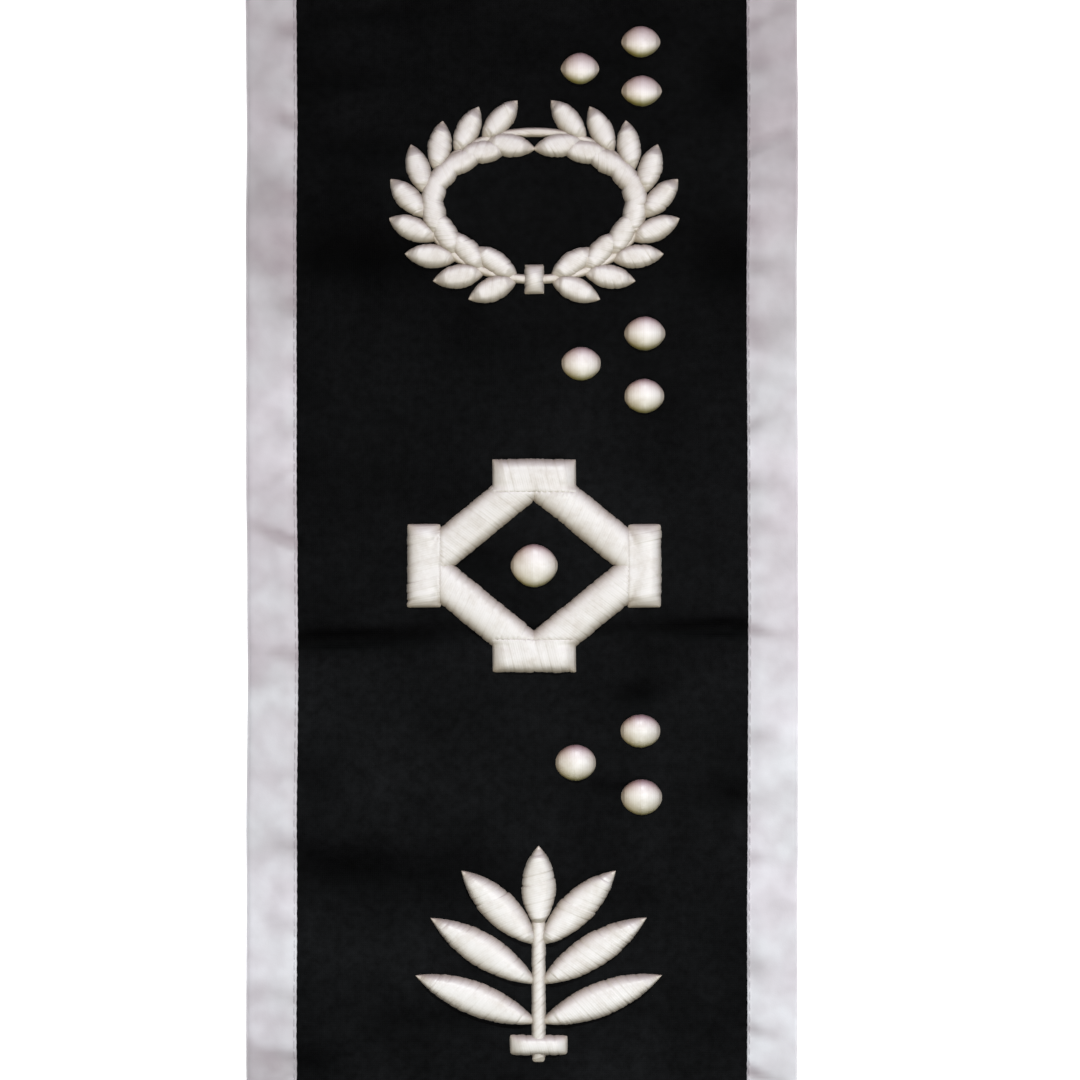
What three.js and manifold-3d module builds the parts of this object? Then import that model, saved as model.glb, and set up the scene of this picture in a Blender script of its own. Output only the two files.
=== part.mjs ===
// A regalia collar lying face up: a flat V-shaped band of black cloth with a silver-grey ribbon folded
// over both edges, and padded ivory embroidery on one front limb. Millimetres, +Z up, +Y from the point
// at the centre front towards the nape, origin under the middle of the collar on the surface it lies on.
import * as THREE from "three";
import Module from "manifold-3d";
import { mergeVertices } from "three/addons/utils/BufferGeometryUtils.js";

const wasm = await Module();
wasm.setup();

// Plan of the band
const BAND_WIDTH = 100;
const BORDER_WIDTH = 9.3;
const FRONT_HALF_ANGLE = THREE.MathUtils.degToRad(28);
const LIMB_LENGTH = 330;
const SHOULDER_RADIUS = 90;
const SHOULDER_TURN = THREE.MathUtils.degToRad(75);

// Thicknesses
const CLOTH_THICK = 2.4;
const FOLDED_CLOTH_THICK = 1.2;
const RIBBON_THICK = 1;
const RIBBON_EDGE_ROLL = 0.9;
const GAP = 0.3;

// Stretches of the band that lift off the surface: distances along the centre line from the centre
// front, and how high the outer and the inner edge rise in the middle of the stretch. side -1 is the
// embroidered limb and side 1 the plain one.
const SWELLS = [
  { side: -1, from: 332, to: 470, outer: 3.2, inner: 0.8 },
  { side: -1, from: 470, to: 555, outer: 0.6, inner: 2.2 },
  { side: 1, from: 112, to: 205, outer: 0.8, inner: 2.4 },
  { side: 1, from: 205, to: 318, outer: 2.8, inner: 1.2 },
  { side: 1, from: 318, to: 452, outer: 3.6, inner: 1 },
  { side: 1, from: 452, to: 548, outer: 0.8, inner: 1.8 },
];

// Embroidery. The badge's own frame has x across the band towards its inner edge, y along the band
// towards the shoulder and z up from the cloth, with its origin on the centre line.
const BADGE_ALONG = 229.5;
const PAD_HEIGHT = 1.8;
const PAD_SHOULDER = 1.1;
const WREATH = { x: 2.2, y: 60.6, width: 48, height: 35.4, leafLength: 9.8, leafWidth: 4.4, splay: 0.5 };
const WREATH_STEM = { width: 1.6, height: 0.9, tieLength: 5.4, tieWidth: 3.6 };
const WREATH_LEAVES = { perSide: 9, first: 0.15, last: 2.64 };
const LOZENGE = { x: 2.2, y: -4.5, width: 46, height: 38.6, bar: 7.1, slabLength: 15.2, slabWidth: 6.2 };
const KNOT = { width: 8.4, height: 7.6 };
const SPRIG = { x: 3, y: -74.7, foot: -19.7, tip: 19.7, stemTop: 7, stemWidth: 2.6, leafWidth: 6.2 };
const SPRIG_TIE = { y: -16.4, length: 10.6, width: 3.8 };
const SPRIG_LEAVES = [
  { y: -12.5, turn: 1.2, length: 24 },
  { y: -5.5, turn: 1.02, length: 23 },
  { y: 1.5, turn: 0.8, length: 19.5 },
];
const DOT = { width: 6.7, height: 6 };
const DOTS = [
  { name: "dot_1a", x: 21.6, y: 90.3 },
  { name: "dot_1b", x: 10.6, y: 85.4 },
  { name: "dot_1c", x: 21.6, y: 81.2 },
  { name: "dot_2a", x: 22.3, y: 37.5 },
  { name: "dot_2b", x: 10.7, y: 31.9 },
  { name: "dot_2c", x: 22.1, y: 26.2 },
  { name: "dot_3a", x: 21.4, y: -34.3 },
  { name: "dot_3b", x: 9.7, y: -40.1 },
  { name: "dot_3c", x: 21.6, y: -46.4 },
];

// Steps along each stretch of half the band, and round each curve of the embroidery
const MITRE_STEPS = 3;
const LIMB_STEPS = 14;
const SHOULDER_STEPS = 10;
const NAPE_STEPS = 9;
const LEAF_STEPS = 4;
const STEM_STEPS = 32;
const DOT_STEPS = 14;

const black_cloth = { color: 0x141416, roughness: 0.9, metalness: 0 };
const silver_ribbon = { color: 0xcfccd4, roughness: 0.45, metalness: 0.1 };
const ivory_thread = { color: 0xece6dd, roughness: 0.5, metalness: 0 };

// Directions and distances that follow from the plan
const half = BAND_WIDTH / 2;
const limbHeading = Math.PI / 2 + FRONT_HALF_ANGLE;
const napeHeading = limbHeading - SHOULDER_TURN;
const shoulderReach = SHOULDER_RADIUS * (Math.sin(limbHeading) - Math.sin(napeHeading));
const limbReach = LIMB_LENGTH * Math.sin(FRONT_HALF_ANGLE);
const napeRadius = (limbReach - shoulderReach) / Math.sin(napeHeading);
const shoulderEnd = LIMB_LENGTH + SHOULDER_RADIUS * SHOULDER_TURN;
const napeEnd = shoulderEnd + napeRadius * napeHeading;
const notch = half / Math.tan(FRONT_HALF_ANGLE);

const thickness = FOLDED_CLOTH_THICK + 2 * GAP + 2 * RIBBON_THICK;
const middle = thickness / 2;
const clothTop = middle + CLOTH_THICK / 2;

// The inward side of the band where its centre line has a heading
const inward = (heading) => new THREE.Vector2(Math.sin(heading), -Math.cos(heading));

const limbEnd = new THREE.Vector2(-limbReach, LIMB_LENGTH * Math.cos(FRONT_HALF_ANGLE));
const shoulderCentre = inward(limbHeading).multiplyScalar(SHOULDER_RADIUS).add(limbEnd);
const napeCentre = inward(napeHeading).multiplyScalar(napeRadius - SHOULDER_RADIUS).add(shoulderCentre);
const pointY = -half / Math.sin(FRONT_HALF_ANGLE);
const napeY = napeCentre.y + napeRadius + half;
const centreY = (pointY + napeY) / 2;

// A place on the half of the band at x < 0: along is measured on the centre line from the centre
// front, and across from the centre line towards the inner edge
function bandPoint(along, across) {
  if (along <= LIMB_LENGTH) {
    const side = inward(limbHeading);
    const x = -along * Math.sin(FRONT_HALF_ANGLE) + across * side.x;
    const y = along * Math.cos(FRONT_HALF_ANGLE) + across * side.y;
    return new THREE.Vector2(x, y - centreY);
  }
  const onShoulder = along <= shoulderEnd;
  const centre = onShoulder ? shoulderCentre : napeCentre;
  const radius = onShoulder ? SHOULDER_RADIUS : napeRadius;
  const heading = onShoulder
    ? limbHeading - (along - LIMB_LENGTH) / SHOULDER_RADIUS
    : napeHeading - (along - shoulderEnd) / napeRadius;
  const spoke = inward(heading).multiplyScalar(across - radius);
  return new THREE.Vector2(centre.x + spoke.x, centre.y + spoke.y - centreY);
}

// How far the band has risen off the surface at a place
function lift(side, along, across) {
  const towardsInner = across / BAND_WIDTH + 0.5;
  let height = 0;
  for (const swell of SWELLS) {
    if (swell.side !== side || along <= swell.from || along >= swell.to) continue;
    const wave = Math.sin((Math.PI * (along - swell.from)) / (swell.to - swell.from)) ** 2;
    height += wave * THREE.MathUtils.lerp(swell.outer, swell.inner, towardsInner);
  }
  return height;
}

// Cross lines of half the band, from the mitre at the centre front to the middle of the nape. Each is
// a function from the place across the band to the place along it. The first lean from the mitre's
// slant to square, and seamGap sets the first back from the centre front.
function crossLines(seamGap) {
  const firstSquare = notch + 8;
  const mitre = (across) => (across + seamGap / Math.cos(FRONT_HALF_ANGLE)) / Math.tan(FRONT_HALF_ANGLE);
  const lines = [];
  for (let i = 0; i < MITRE_STEPS; i++) {
    lines.push((across) => THREE.MathUtils.lerp(mitre(across), firstSquare, i / MITRE_STEPS));
  }
  const stretches = [
    { from: firstSquare, to: LIMB_LENGTH, steps: LIMB_STEPS },
    { from: LIMB_LENGTH, to: shoulderEnd, steps: SHOULDER_STEPS },
    { from: shoulderEnd, to: napeEnd, steps: NAPE_STEPS },
  ];
  for (const { from, to, steps } of stretches) {
    for (let i = 0; i < steps; i++) {
      const along = THREE.MathUtils.lerp(from, to, i / steps);
      lines.push(() => along);
    }
  }
  lines.push(() => napeEnd);
  return lines;
}

// The ring of points that a cross section makes at one cross line
function ringAt(side, line, section) {
  return section.map(({ across, z }) => {
    const along = line(across);
    const place = bandPoint(along, across);
    return new THREE.Vector3(-side * place.x, place.y, z + lift(side, along, across));
  });
}

// Closed solid through rings of the same count: either the last ring joins the first, or both are capped
function loft(rings, closedLoop = false) {
  const count = rings[0].length;
  const faces = [];
  const spans = closedLoop ? rings.length : rings.length - 1;
  for (let r = 0; r < spans; r++) {
    const here = r * count;
    const next = ((r + 1) % rings.length) * count;
    for (let i = 0; i < count; i++) {
      const j = (i + 1) % count;
      faces.push([here + i, here + j, next + j], [here + i, next + j, next + i]);
    }
  }
  if (!closedLoop) {
    const last = (rings.length - 1) * count;
    for (const [a, b, c] of capFaces(rings[0])) faces.push([c, b, a]);
    for (const [a, b, c] of capFaces(rings.at(-1))) faces.push([last + a, last + b, last + c]);
  }
  return outwards(rings.flat(), faces);
}

// Triangles over a flat ring, turning the way the ring does
function capFaces(ring) {
  const normal = new THREE.Vector3();
  ring.forEach((p, i) => normal.add(new THREE.Vector3().crossVectors(p, ring[(i + 1) % ring.length])));
  const turn = new THREE.Quaternion().setFromUnitVectors(normal.normalize(), new THREE.Vector3(0, 0, 1));
  const flat = ring.map((p) => {
    const turned = p.clone().applyQuaternion(turn);
    return new THREE.Vector2(turned.x, turned.y);
  });
  return THREE.ShapeUtils.triangulateShape(flat, []);
}

// Geometry from points and triangles, turned so that its volume is positive
function outwards(points, faces) {
  const volume = faces.reduce((sum, [a, b, c]) => {
    return sum + points[a].dot(new THREE.Vector3().crossVectors(points[b], points[c]));
  }, 0);
  const turned = volume < 0 ? faces.map(([a, b, c]) => [c, b, a]) : faces;
  return new THREE.BufferGeometry().setFromPoints(points).setIndex(turned.flat());
}

function sew(name, geometry, material) {
  const flatShaded = geometry.index ? geometry.toNonIndexed() : geometry;
  flatShaded.computeVertexNormals();
  const piece = new THREE.Mesh(flatShaded, new THREE.MeshStandardMaterial(material));
  piece.name = name;
  return piece;
}

// Band cloth: full thickness in the field and squeezed thin where a border folds over its edge
function clothSection() {
  const tongue = half - RIBBON_THICK - GAP;
  const field = half - BORDER_WIDTH - GAP;
  const thick = CLOTH_THICK / 2;
  const thin = FOLDED_CLOTH_THICK / 2;
  const upper = [
    [-tongue, thin], [-field, thin], [-field, thick], [-field / 2, thick], [0, thick],
    [field / 2, thick], [field, thick], [field, thin], [tongue, thin],
  ];
  const lower = upper.map(([across, z]) => [across, -z]).reverse();
  return [...upper, ...lower].map(([across, z]) => ({ across, z: middle + z }));
}

// Border ribbon: a channel folded round the band's edge. edge is -1 for the outer border, 1 the inner
function ribbonSection(edge) {
  const roll = RIBBON_EDGE_ROLL;
  const outline = [
    [BORDER_WIDTH, thickness], [roll, thickness], [0, thickness - roll], [0, roll], [roll, 0],
    [BORDER_WIDTH, 0], [BORDER_WIDTH, RIBBON_THICK], [RIBBON_THICK, RIBBON_THICK],
    [RIBBON_THICK, thickness - RIBBON_THICK], [BORDER_WIDTH, thickness - RIBBON_THICK],
  ];
  return outline.map(([depth, z]) => ({ across: edge * (half - depth), z }));
}

// From the mitre seam at the centre front to the seam at the shoulder
function frontPanel(side) {
  const lines = crossLines(GAP / 2).slice(0, MITRE_STEPS + LIMB_STEPS);
  const seam = LIMB_LENGTH - GAP / 2;
  return loft([...lines, () => seam].map((line) => ringAt(side, line, clothSection())));
}

// Round the nape from one shoulder seam to the other
function neckPanel() {
  const seam = LIMB_LENGTH + GAP / 2;
  const lines = [() => seam, ...crossLines(0).slice(MITRE_STEPS + LIMB_STEPS + 1)];
  const left = lines.map((line) => ringAt(-1, line, clothSection()));
  const right = lines.slice(0, -1).map((line) => ringAt(1, line, clothSection()));
  return loft([...left, ...right.reverse()]);
}

// A whole loop, mitred at the centre front
function border(edge) {
  const lines = crossLines(0);
  const left = lines.map((line) => ringAt(-1, line, ribbonSection(edge)));
  const right = lines.slice(1, -1).map((line) => ringAt(1, line, ribbonSection(edge)));
  return loft([...left, ...right.reverse()], true);
}

// The outline moved inwards, each corner along its bisector
function insetOutline(outline, distance) {
  const count = outline.length;
  return outline.map((p, i) => {
    const before = p.clone().sub(outline[(i + count - 1) % count]).normalize();
    const after = outline[(i + 1) % count].clone().sub(p).normalize();
    const bisector = new THREE.Vector2(-before.y - after.y, before.x + after.x).normalize();
    const sine = Math.max(0.5, bisector.x * -after.y + bisector.y * after.x);
    return p.clone().addScaledVector(bisector, distance / sine);
  });
}

// A stitched pad on a convex anticlockwise outline: upright to half its height, then bevelled
function pad(outline, shoulder = PAD_SHOULDER) {
  const ring = (points, z) => points.map((p) => new THREE.Vector3(p.x, p.y, z));
  const top = ring(insetOutline(outline, shoulder), PAD_HEIGHT);
  return loft([ring(outline, 0), ring(outline, PAD_HEIGHT / 2), top]);
}

function barOutline(length, width) {
  const corners = [[-1, -1], [1, -1], [1, 1], [-1, 1]];
  return corners.map(([x, y]) => new THREE.Vector2((x * length) / 2, (y * width) / 2));
}

// A leaf between two equal arcs, from its stalk at x, y. turn is its lean from +y towards +x.
function leaf(x, y, turn, length, width) {
  const radius = (length ** 2 + width ** 2) / (4 * width);
  const bulge = (up) => Math.sqrt(radius ** 2 - (up - length / 2) ** 2) - (radius - width / 2);
  const ups = Array.from({ length: LEAF_STEPS + 1 }, (_, i) => (length * i) / LEAF_STEPS);
  const rightSide = ups.slice(0, -1).map((up) => new THREE.Vector2(bulge(up), up));
  const leftSide = ups.slice(1).reverse().map((up) => new THREE.Vector2(-bulge(up), up));
  return pad([...rightSide, ...leftSide], width / 5).rotateZ(-turn).translate(x, y, 0);
}

function solidOf(geometry) {
  const bare = new THREE.BufferGeometry().setAttribute("position", geometry.getAttribute("position"));
  bare.setIndex(geometry.index);
  const merged = mergeVertices(bare, 1e-4);
  const mesh = new wasm.Mesh({
    numProp: 3,
    vertProperties: new Float32Array(merged.attributes.position.array),
    triVerts: new Uint32Array(merged.index.array),
  });
  return new wasm.Manifold(mesh);
}

// Joins overlapping pads into one stitched piece
function joined(geometries) {
  const mesh = geometries.map(solidOf).reduce((whole, solid) => whole.add(solid)).getMesh();
  const positions = new Float32Array(mesh.numVert * 3);
  for (let i = 0; i < mesh.numVert; i++) {
    const start = i * mesh.numProp;
    positions.set(mesh.vertProperties.subarray(start, start + 3), i * 3);
  }
  const geometry = new THREE.BufferGeometry();
  geometry.setAttribute("position", new THREE.BufferAttribute(positions, 3));
  return geometry.setIndex(new THREE.BufferAttribute(mesh.triVerts, 1));
}

// A place on the wreath's oval stem, angle 0 at its tie and pi at its top, and its lean from +y to +x
function wreathStemAt(angle) {
  const across = WREATH.width / 2 - WREATH.leafWidth;
  const along = WREATH.height / 2 - WREATH.leafWidth;
  const heading = Math.atan2(across * Math.cos(angle), along * Math.sin(angle));
  return { x: across * Math.sin(angle), y: -along * Math.cos(angle), heading };
}

function wreathStem() {
  const corners = [[-0.5, 0], [0.5, 0], [0.5, WREATH_STEM.height], [-0.5, WREATH_STEM.height]];
  const rings = Array.from({ length: STEM_STEPS }, (_, i) => {
    const { x, y, heading } = wreathStemAt((2 * Math.PI * i) / STEM_STEPS);
    return corners.map(([side, z]) => {
      const step = side * WREATH_STEM.width;
      return new THREE.Vector3(x + step * Math.cos(heading), y - step * Math.sin(heading), z);
    });
  });
  return loft(rings, true);
}

// Closed oval wreath: pairs of leaves climb both sides of the stem from a tie and meet at the top
function wreath() {
  const tie = pad(barOutline(WREATH_STEM.tieWidth, WREATH_STEM.tieLength), WREATH_STEM.width / 2);
  const pieces = [wreathStem(), tie.translate(0, wreathStemAt(0).y, 0)];
  const { leafLength, leafWidth, splay } = WREATH;
  const { perSide, first, last } = WREATH_LEAVES;
  for (let i = 0; i < perSide; i++) {
    const { x, y, heading } = wreathStemAt(THREE.MathUtils.lerp(first, last, i / (perSide - 1)));
    for (const turn of [heading - splay, heading + splay]) {
      pieces.push(leaf(x, y, turn, leafLength, leafWidth));
      pieces.push(leaf(-x, y, -turn, leafLength, leafWidth));
    }
  }
  return joined(pieces);
}

// Lozenge of four broad bars with a slab across each corner
function lozenge() {
  const { width, height, bar, slabLength, slabWidth } = LOZENGE;
  const right = (width - slabWidth) / 2;
  const top = (height - slabWidth) / 2;
  const tilt = Math.atan2(top, right);
  const pieces = [];
  for (const x of [-1, 1]) {
    for (const y of [-1, 1]) {
      const side = pad(barOutline(Math.hypot(right, top), bar)).rotateZ(-x * y * tilt);
      pieces.push(side.translate((x * right) / 2, (y * top) / 2, 0));
    }
    pieces.push(pad(barOutline(slabWidth, slabLength)).translate(x * right, 0, 0));
    pieces.push(pad(barOutline(slabLength, slabWidth)).translate(0, x * top, 0));
  }
  return joined(pieces);
}

// Sprig: a stem with pairs of leaves, one leaf at its tip and a tie across its foot
function sprig() {
  const { foot, tip, stemTop, stemWidth, leafWidth } = SPRIG;
  const stem = pad(barOutline(stemWidth, stemTop - foot), stemWidth / 4);
  const tie = pad(barOutline(SPRIG_TIE.length, SPRIG_TIE.width));
  const tipLeafFoot = stemTop - stemWidth;
  const pieces = [stem.translate(0, (foot + stemTop) / 2, 0), tie.translate(0, SPRIG_TIE.y, 0)];
  pieces.push(leaf(0, tipLeafFoot, 0, tip - tipLeafFoot, leafWidth));
  for (const { y, turn, length } of SPRIG_LEAVES) {
    pieces.push(leaf(0, y, turn, length, leafWidth), leaf(0, y, -turn, length, leafWidth));
  }
  return joined(pieces);
}

// Domed pad, a little wider across the band than along it. dome lists shares of its radius and height.
function dot(width, height) {
  const dome = [[0, 0], [1, 0], [1, 0.3], [0.86, 0.65], [0.5, 0.92], [0, 1]];
  const profile = dome.map(([r, z]) => new THREE.Vector2((r * width) / 2, z * PAD_HEIGHT));
  return new THREE.LatheGeometry(profile, DOT_STEPS).rotateX(Math.PI / 2).scale(1, height / width, 1);
}

function badge() {
  const group = new THREE.Group();
  const place = bandPoint(BADGE_ALONG, 0);
  group.position.set(place.x, place.y, clothTop + GAP);
  group.rotation.z = FRONT_HALF_ANGLE;
  const stitched = [
    { name: "wreath", geometry: wreath(), at: WREATH },
    { name: "lozenge", geometry: lozenge(), at: LOZENGE },
    { name: "centre_knot", geometry: dot(KNOT.width, KNOT.height), at: LOZENGE },
    { name: "sprig", geometry: sprig(), at: SPRIG },
    ...DOTS.map((at) => ({ name: at.name, geometry: dot(DOT.width, DOT.height), at })),
  ];
  for (const { name, geometry, at } of stitched) {
    const piece = sew(name, geometry, ivory_thread);
    piece.position.set(at.x, at.y, 0);
    group.add(piece);
  }
  return group;
}

const collar = new THREE.Group();
collar.add(sew("left_front_panel", frontPanel(-1), black_cloth));
collar.add(sew("right_front_panel", frontPanel(1), black_cloth));
collar.add(sew("neck_panel", neckPanel(), black_cloth));
collar.add(sew("outer_border", border(-1), silver_ribbon));
collar.add(sew("inner_border", border(1), silver_ribbon));
collar.add(badge());

export default collar;
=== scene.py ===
"""A regalia collar of black cloth, laid flat and face up on a pale surface.

The band is a flat V with a rounded nape. A silver-grey satin ribbon is folded over both of its edges and
topstitched, and one front limb carries padded ivory satin-stitch embroidery. Everything is in metres, with
+Z up and +Y from the point at the centre front towards the nape.
"""
import math
from types import SimpleNamespace

import bmesh
import bpy
import numpy as np
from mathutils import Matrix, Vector


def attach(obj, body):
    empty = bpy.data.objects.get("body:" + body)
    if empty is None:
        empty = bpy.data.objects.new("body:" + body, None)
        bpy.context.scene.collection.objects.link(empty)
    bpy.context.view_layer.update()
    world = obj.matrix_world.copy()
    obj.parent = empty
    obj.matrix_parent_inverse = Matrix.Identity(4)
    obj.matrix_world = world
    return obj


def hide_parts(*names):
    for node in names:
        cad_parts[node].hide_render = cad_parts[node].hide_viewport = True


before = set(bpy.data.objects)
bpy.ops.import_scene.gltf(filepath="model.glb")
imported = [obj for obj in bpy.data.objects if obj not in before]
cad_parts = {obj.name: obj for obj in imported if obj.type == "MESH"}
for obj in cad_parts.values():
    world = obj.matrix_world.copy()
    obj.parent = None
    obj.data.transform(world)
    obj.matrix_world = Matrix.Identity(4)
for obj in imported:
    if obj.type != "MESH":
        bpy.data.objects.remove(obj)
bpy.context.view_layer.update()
MM = 0.001

# The band's plan, and the camera over one limb of it.
# The centre line of each half is a straight limb, an arc round the shoulder and an arc round the nape. A
# place on the band is told by its distance along that line from the centre front, and across towards the
# inner edge. The photograph looks straight down on 195 mm of the limb at x < 0.
BAND_HALF = 50 * MM
LIMB = 330 * MM
FRONT_ANGLE = math.radians(28)
SHOULDER_RADIUS = 90 * MM
SHOULDER_TURN = math.radians(75)

limb_heading = math.pi / 2 + FRONT_ANGLE
nape_heading = limb_heading - SHOULDER_TURN
shoulder_reach = SHOULDER_RADIUS * (math.sin(limb_heading) - math.sin(nape_heading))
nape_radius = (LIMB * math.sin(FRONT_ANGLE) - shoulder_reach) / math.sin(nape_heading)
shoulder_end = LIMB + SHOULDER_RADIUS * SHOULDER_TURN
nape_end = shoulder_end + nape_radius * nape_heading
notch = BAND_HALF / math.tan(FRONT_ANGLE)

inwards = Vector((math.cos(FRONT_ANGLE), math.sin(FRONT_ANGLE)))
upwards = Vector((-math.sin(FRONT_ANGLE), math.cos(FRONT_ANGLE)))
shoulder_centre = upwards * LIMB + inwards * SHOULDER_RADIUS
nape_centre_y = shoulder_centre.y - (nape_radius - SHOULDER_RADIUS) * math.cos(nape_heading)
point_y = -BAND_HALF / math.sin(FRONT_ANGLE)
centre_y = (point_y + nape_centre_y + nape_radius + BAND_HALF) / 2


def band_place(along, across):
    """Plan place on the half at x < 0. On the limb it is along steps up it and across steps inwards. On an
    arc it lies on the spoke at its heading, at the arc's radius less across from the arc's centre."""
    along, across = np.broadcast_arrays(along, across)
    shoulder = limb_heading - (along - LIMB) / SHOULDER_RADIUS
    nape = nape_heading - (along - shoulder_end) / nape_radius
    limb_x = upwards.x * along + inwards.x * across
    limb_y = upwards.y * along + inwards.y * across
    shoulder_x = shoulder_centre.x + np.sin(shoulder) * (across - SHOULDER_RADIUS)
    shoulder_y = shoulder_centre.y - np.cos(shoulder) * (across - SHOULDER_RADIUS)
    parts = [along <= LIMB, along <= shoulder_end]
    x = np.select(parts, [limb_x, shoulder_x], np.sin(nape) * (across - nape_radius))
    y = np.select(parts, [limb_y, shoulder_y], nape_centre_y - np.cos(nape) * (across - nape_radius))
    return x, y - centre_y


PHOTO_PIXEL = 2 * BAND_HALF / 553
PHOTO_SIDE = 1080 * PHOTO_PIXEL
PHOTO_FOOT = 132 * MM
PHOTO_ACROSS = 3.25 * MM
CAMERA_DISTANCE = 460 * MM
FACE_HEIGHT = 3.4 * MM
SENSOR = 36

photo_x, photo_y = band_place(PHOTO_FOOT + PHOTO_SIDE / 2, PHOTO_ACROSS)
camera_data = bpy.data.cameras.new("camera")
camera_data.sensor_width = SENSOR
camera_data.lens = SENSOR * CAMERA_DISTANCE / PHOTO_SIDE
camera_data.clip_start = 10 * MM
camera = bpy.data.objects.new("camera", camera_data)
camera.location = (float(photo_x), float(photo_y), FACE_HEIGHT + CAMERA_DISTANCE)
camera.rotation_euler = (0, 0, FRONT_ANGLE)
bpy.context.collection.objects.link(camera)
bpy.context.scene.camera = camera

# The floor and the light.
# A plain white light table in a dim white room, with a broad key light from the photograph's right. As in
# the photograph, soft light falls on the collar's lower half from above it, and on the shoulders from below.
FLOOR_SIDE = 80
FLOOR_COLOUR = (0.93, 0.93, 0.935, 1)
FLOOR_GLOW = 0.85
ROOM_COLOUR = (1.0, 0.92, 0.97, 1)
ROOM_STRENGTH = 0.2
SPOT_DISTANCE = 2.5


def table(columns, *rows):
    """Rows of values as objects. columns names the values of each row, in their order."""
    return [SimpleNamespace(**dict(zip(columns.split(), row, strict=True))) for row in rows]


# The half that each spot lights, the place along it and the radius in millimetres, and its direction as
# photo right, photo up and z
SPOTS = table(
    "name side along radius direction colour watts",
    ("point_light", -1, 50, 264, (0.1, 0.9, 1.0), (0.90, 1.0, 0.99), 192),
    ("left_shoulder_light", -1, 430, 280, (0.15, -1.0, 1.0), (1.0, 0.945, 0.955), 114),
    ("right_shoulder_light", 1, 430, 280, (0.15, -1.0, 1.0), (1.0, 0.945, 0.955), 114),
)


def new_material(name):
    """A material with nodes, so far with its Principled shader alone."""
    material = bpy.data.materials.new(name)
    material.use_nodes = True
    return material


def feed(socket, value):
    """Sets a node's socket to a value, or links it to another node's output."""
    if isinstance(value, bpy.types.NodeSocket):
        socket.id_data.links.new(value, socket)
    else:
        socket.default_value = value


def shade(material, **sockets):
    """Feeds the sockets of the material's Principled shader. In their names _ stands for a space."""
    shader = material.node_tree.nodes["Principled BSDF"]
    for name, value in sockets.items():
        feed(shader.inputs[name.replace("_", " ")], value)


def lamp(name, kind, colour, watts, foot, direction, distance, **settings):
    """A lamp at a distance from its foot on the table. direction is photo right, photo up and z."""
    right, up, height = direction
    way = Vector((*(inwards * right + upwards * up), height)).normalized()
    data = bpy.data.lights.new(name, kind)
    data.color = colour
    data.energy = watts
    for key, value in settings.items():
        setattr(data, key, value)
    light = bpy.data.objects.new(name, data)
    light.location = Vector((*foot, 0)) + way * distance
    light.rotation_euler = way.to_track_quat("Z", "Y").to_euler()
    bpy.context.collection.objects.link(light)


floor_mesh = bpy.data.meshes.new("floor")
corners = [(x * FLOOR_SIDE / 2, y * FLOOR_SIDE / 2, 0) for x, y in ((-1, -1), (1, -1), (1, 1), (-1, 1))]
floor_mesh.from_pydata(corners, [], [(0, 1, 2, 3)])
floor = bpy.data.objects.new("floor", floor_mesh)
bpy.context.collection.objects.link(floor)
white_table = new_material("white_table")
shade(white_table, Base_Color=FLOOR_COLOUR, Roughness=0.9, Specular_IOR_Level=0.1,
      Emission_Color=(1, 1, 1, 1), Emission_Strength=FLOOR_GLOW)
floor_mesh.materials.append(white_table)

lamp("key_light", "AREA", colour=(1.0, 0.965, 0.95), watts=14, foot=(camera.location.x, camera.location.y),
     direction=(0.35, 0.0, 1.0), distance=2.0, size=0.5)
for spot in SPOTS:
    foot = upwards * (spot.along * MM)
    foot = (-spot.side * foot.x, foot.y - centre_y)
    lamp(spot.name, "SPOT", spot.colour, spot.watts, foot, spot.direction, SPOT_DISTANCE,
         spot_size=2 * math.atan(spot.radius * MM / SPOT_DISTANCE), spot_blend=1.0, shadow_soft_size=0.07)
world = bpy.data.worlds.new("room")
world.use_nodes = True
world.node_tree.nodes["Background"].inputs["Color"].default_value = ROOM_COLOUR
world.node_tree.nodes["Background"].inputs["Strength"].default_value = ROOM_STRENGTH
bpy.context.scene.world = world
bpy.context.scene.view_settings.view_transform = "Standard"

# The black cloth, in three panels.
# Matt black plain-weave cloth over an interlining, about 2.4 mm thick and squeezed thin under the borders.
# The two front panels meet in a mitre seam at the centre front, and the neck panel joins them at the
# shoulders. It lies almost flat, with soft crosswise folds and creases.
CLOTH_TOP = 3.1 * MM
CLOTH_BOTTOM = 0.7 * MM
CLOTH_THINNEST = 0.8 * MM
CLOTH_EDGE = 48.7 * MM
UNDER_SAG = 0.3 * MM
BORDER_EDGE = 40.7 * MM
TUCKED_DROP = 0.95 * MM
TUCKED_FROM = 0.3 * MM
TUCKED_WIDTH = 2.2 * MM
GROUND_WAVE = 42 * MM
GROUND_HEIGHT = 0.14 * MM
SHORT_WAVE = 9 * MM
SHORT_HEIGHT = 0.035 * MM
BESIDE_WAVE = 11 * MM
BESIDE_HEIGHT = 0.14 * MM
BESIDE_FROM = 1.5 * MM
BESIDE_REACH = 5 * MM
CREASE_FADE = 4 * MM
CREASE_SHOULDER = 1.2
# Painted shade in the creases and painted light on bulges: the most light a crease takes off, the depth in
# millimetres that gets all of it, and the most light a bulge adds
CREASE_PAINTED_SHADE = 0.75
DARKEST_DEPTH = 0.8
BULGE_PAINTED_LIGHT = 0.6
SEAM_GAP = -0.03 * MM
SEAM_DIP = 0.75 * MM
SEAM_WIDTH = 0.9 * MM
SQUARE_ROW = notch + 8 * MM
FINE_STEP = 0.85 * MM
PLAIN_STEP = 1.3 * MM
SEAM_STATIONS = np.array([0.25, 0.5, 0.8, 1.15, 1.6, 2.2]) * MM
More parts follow.
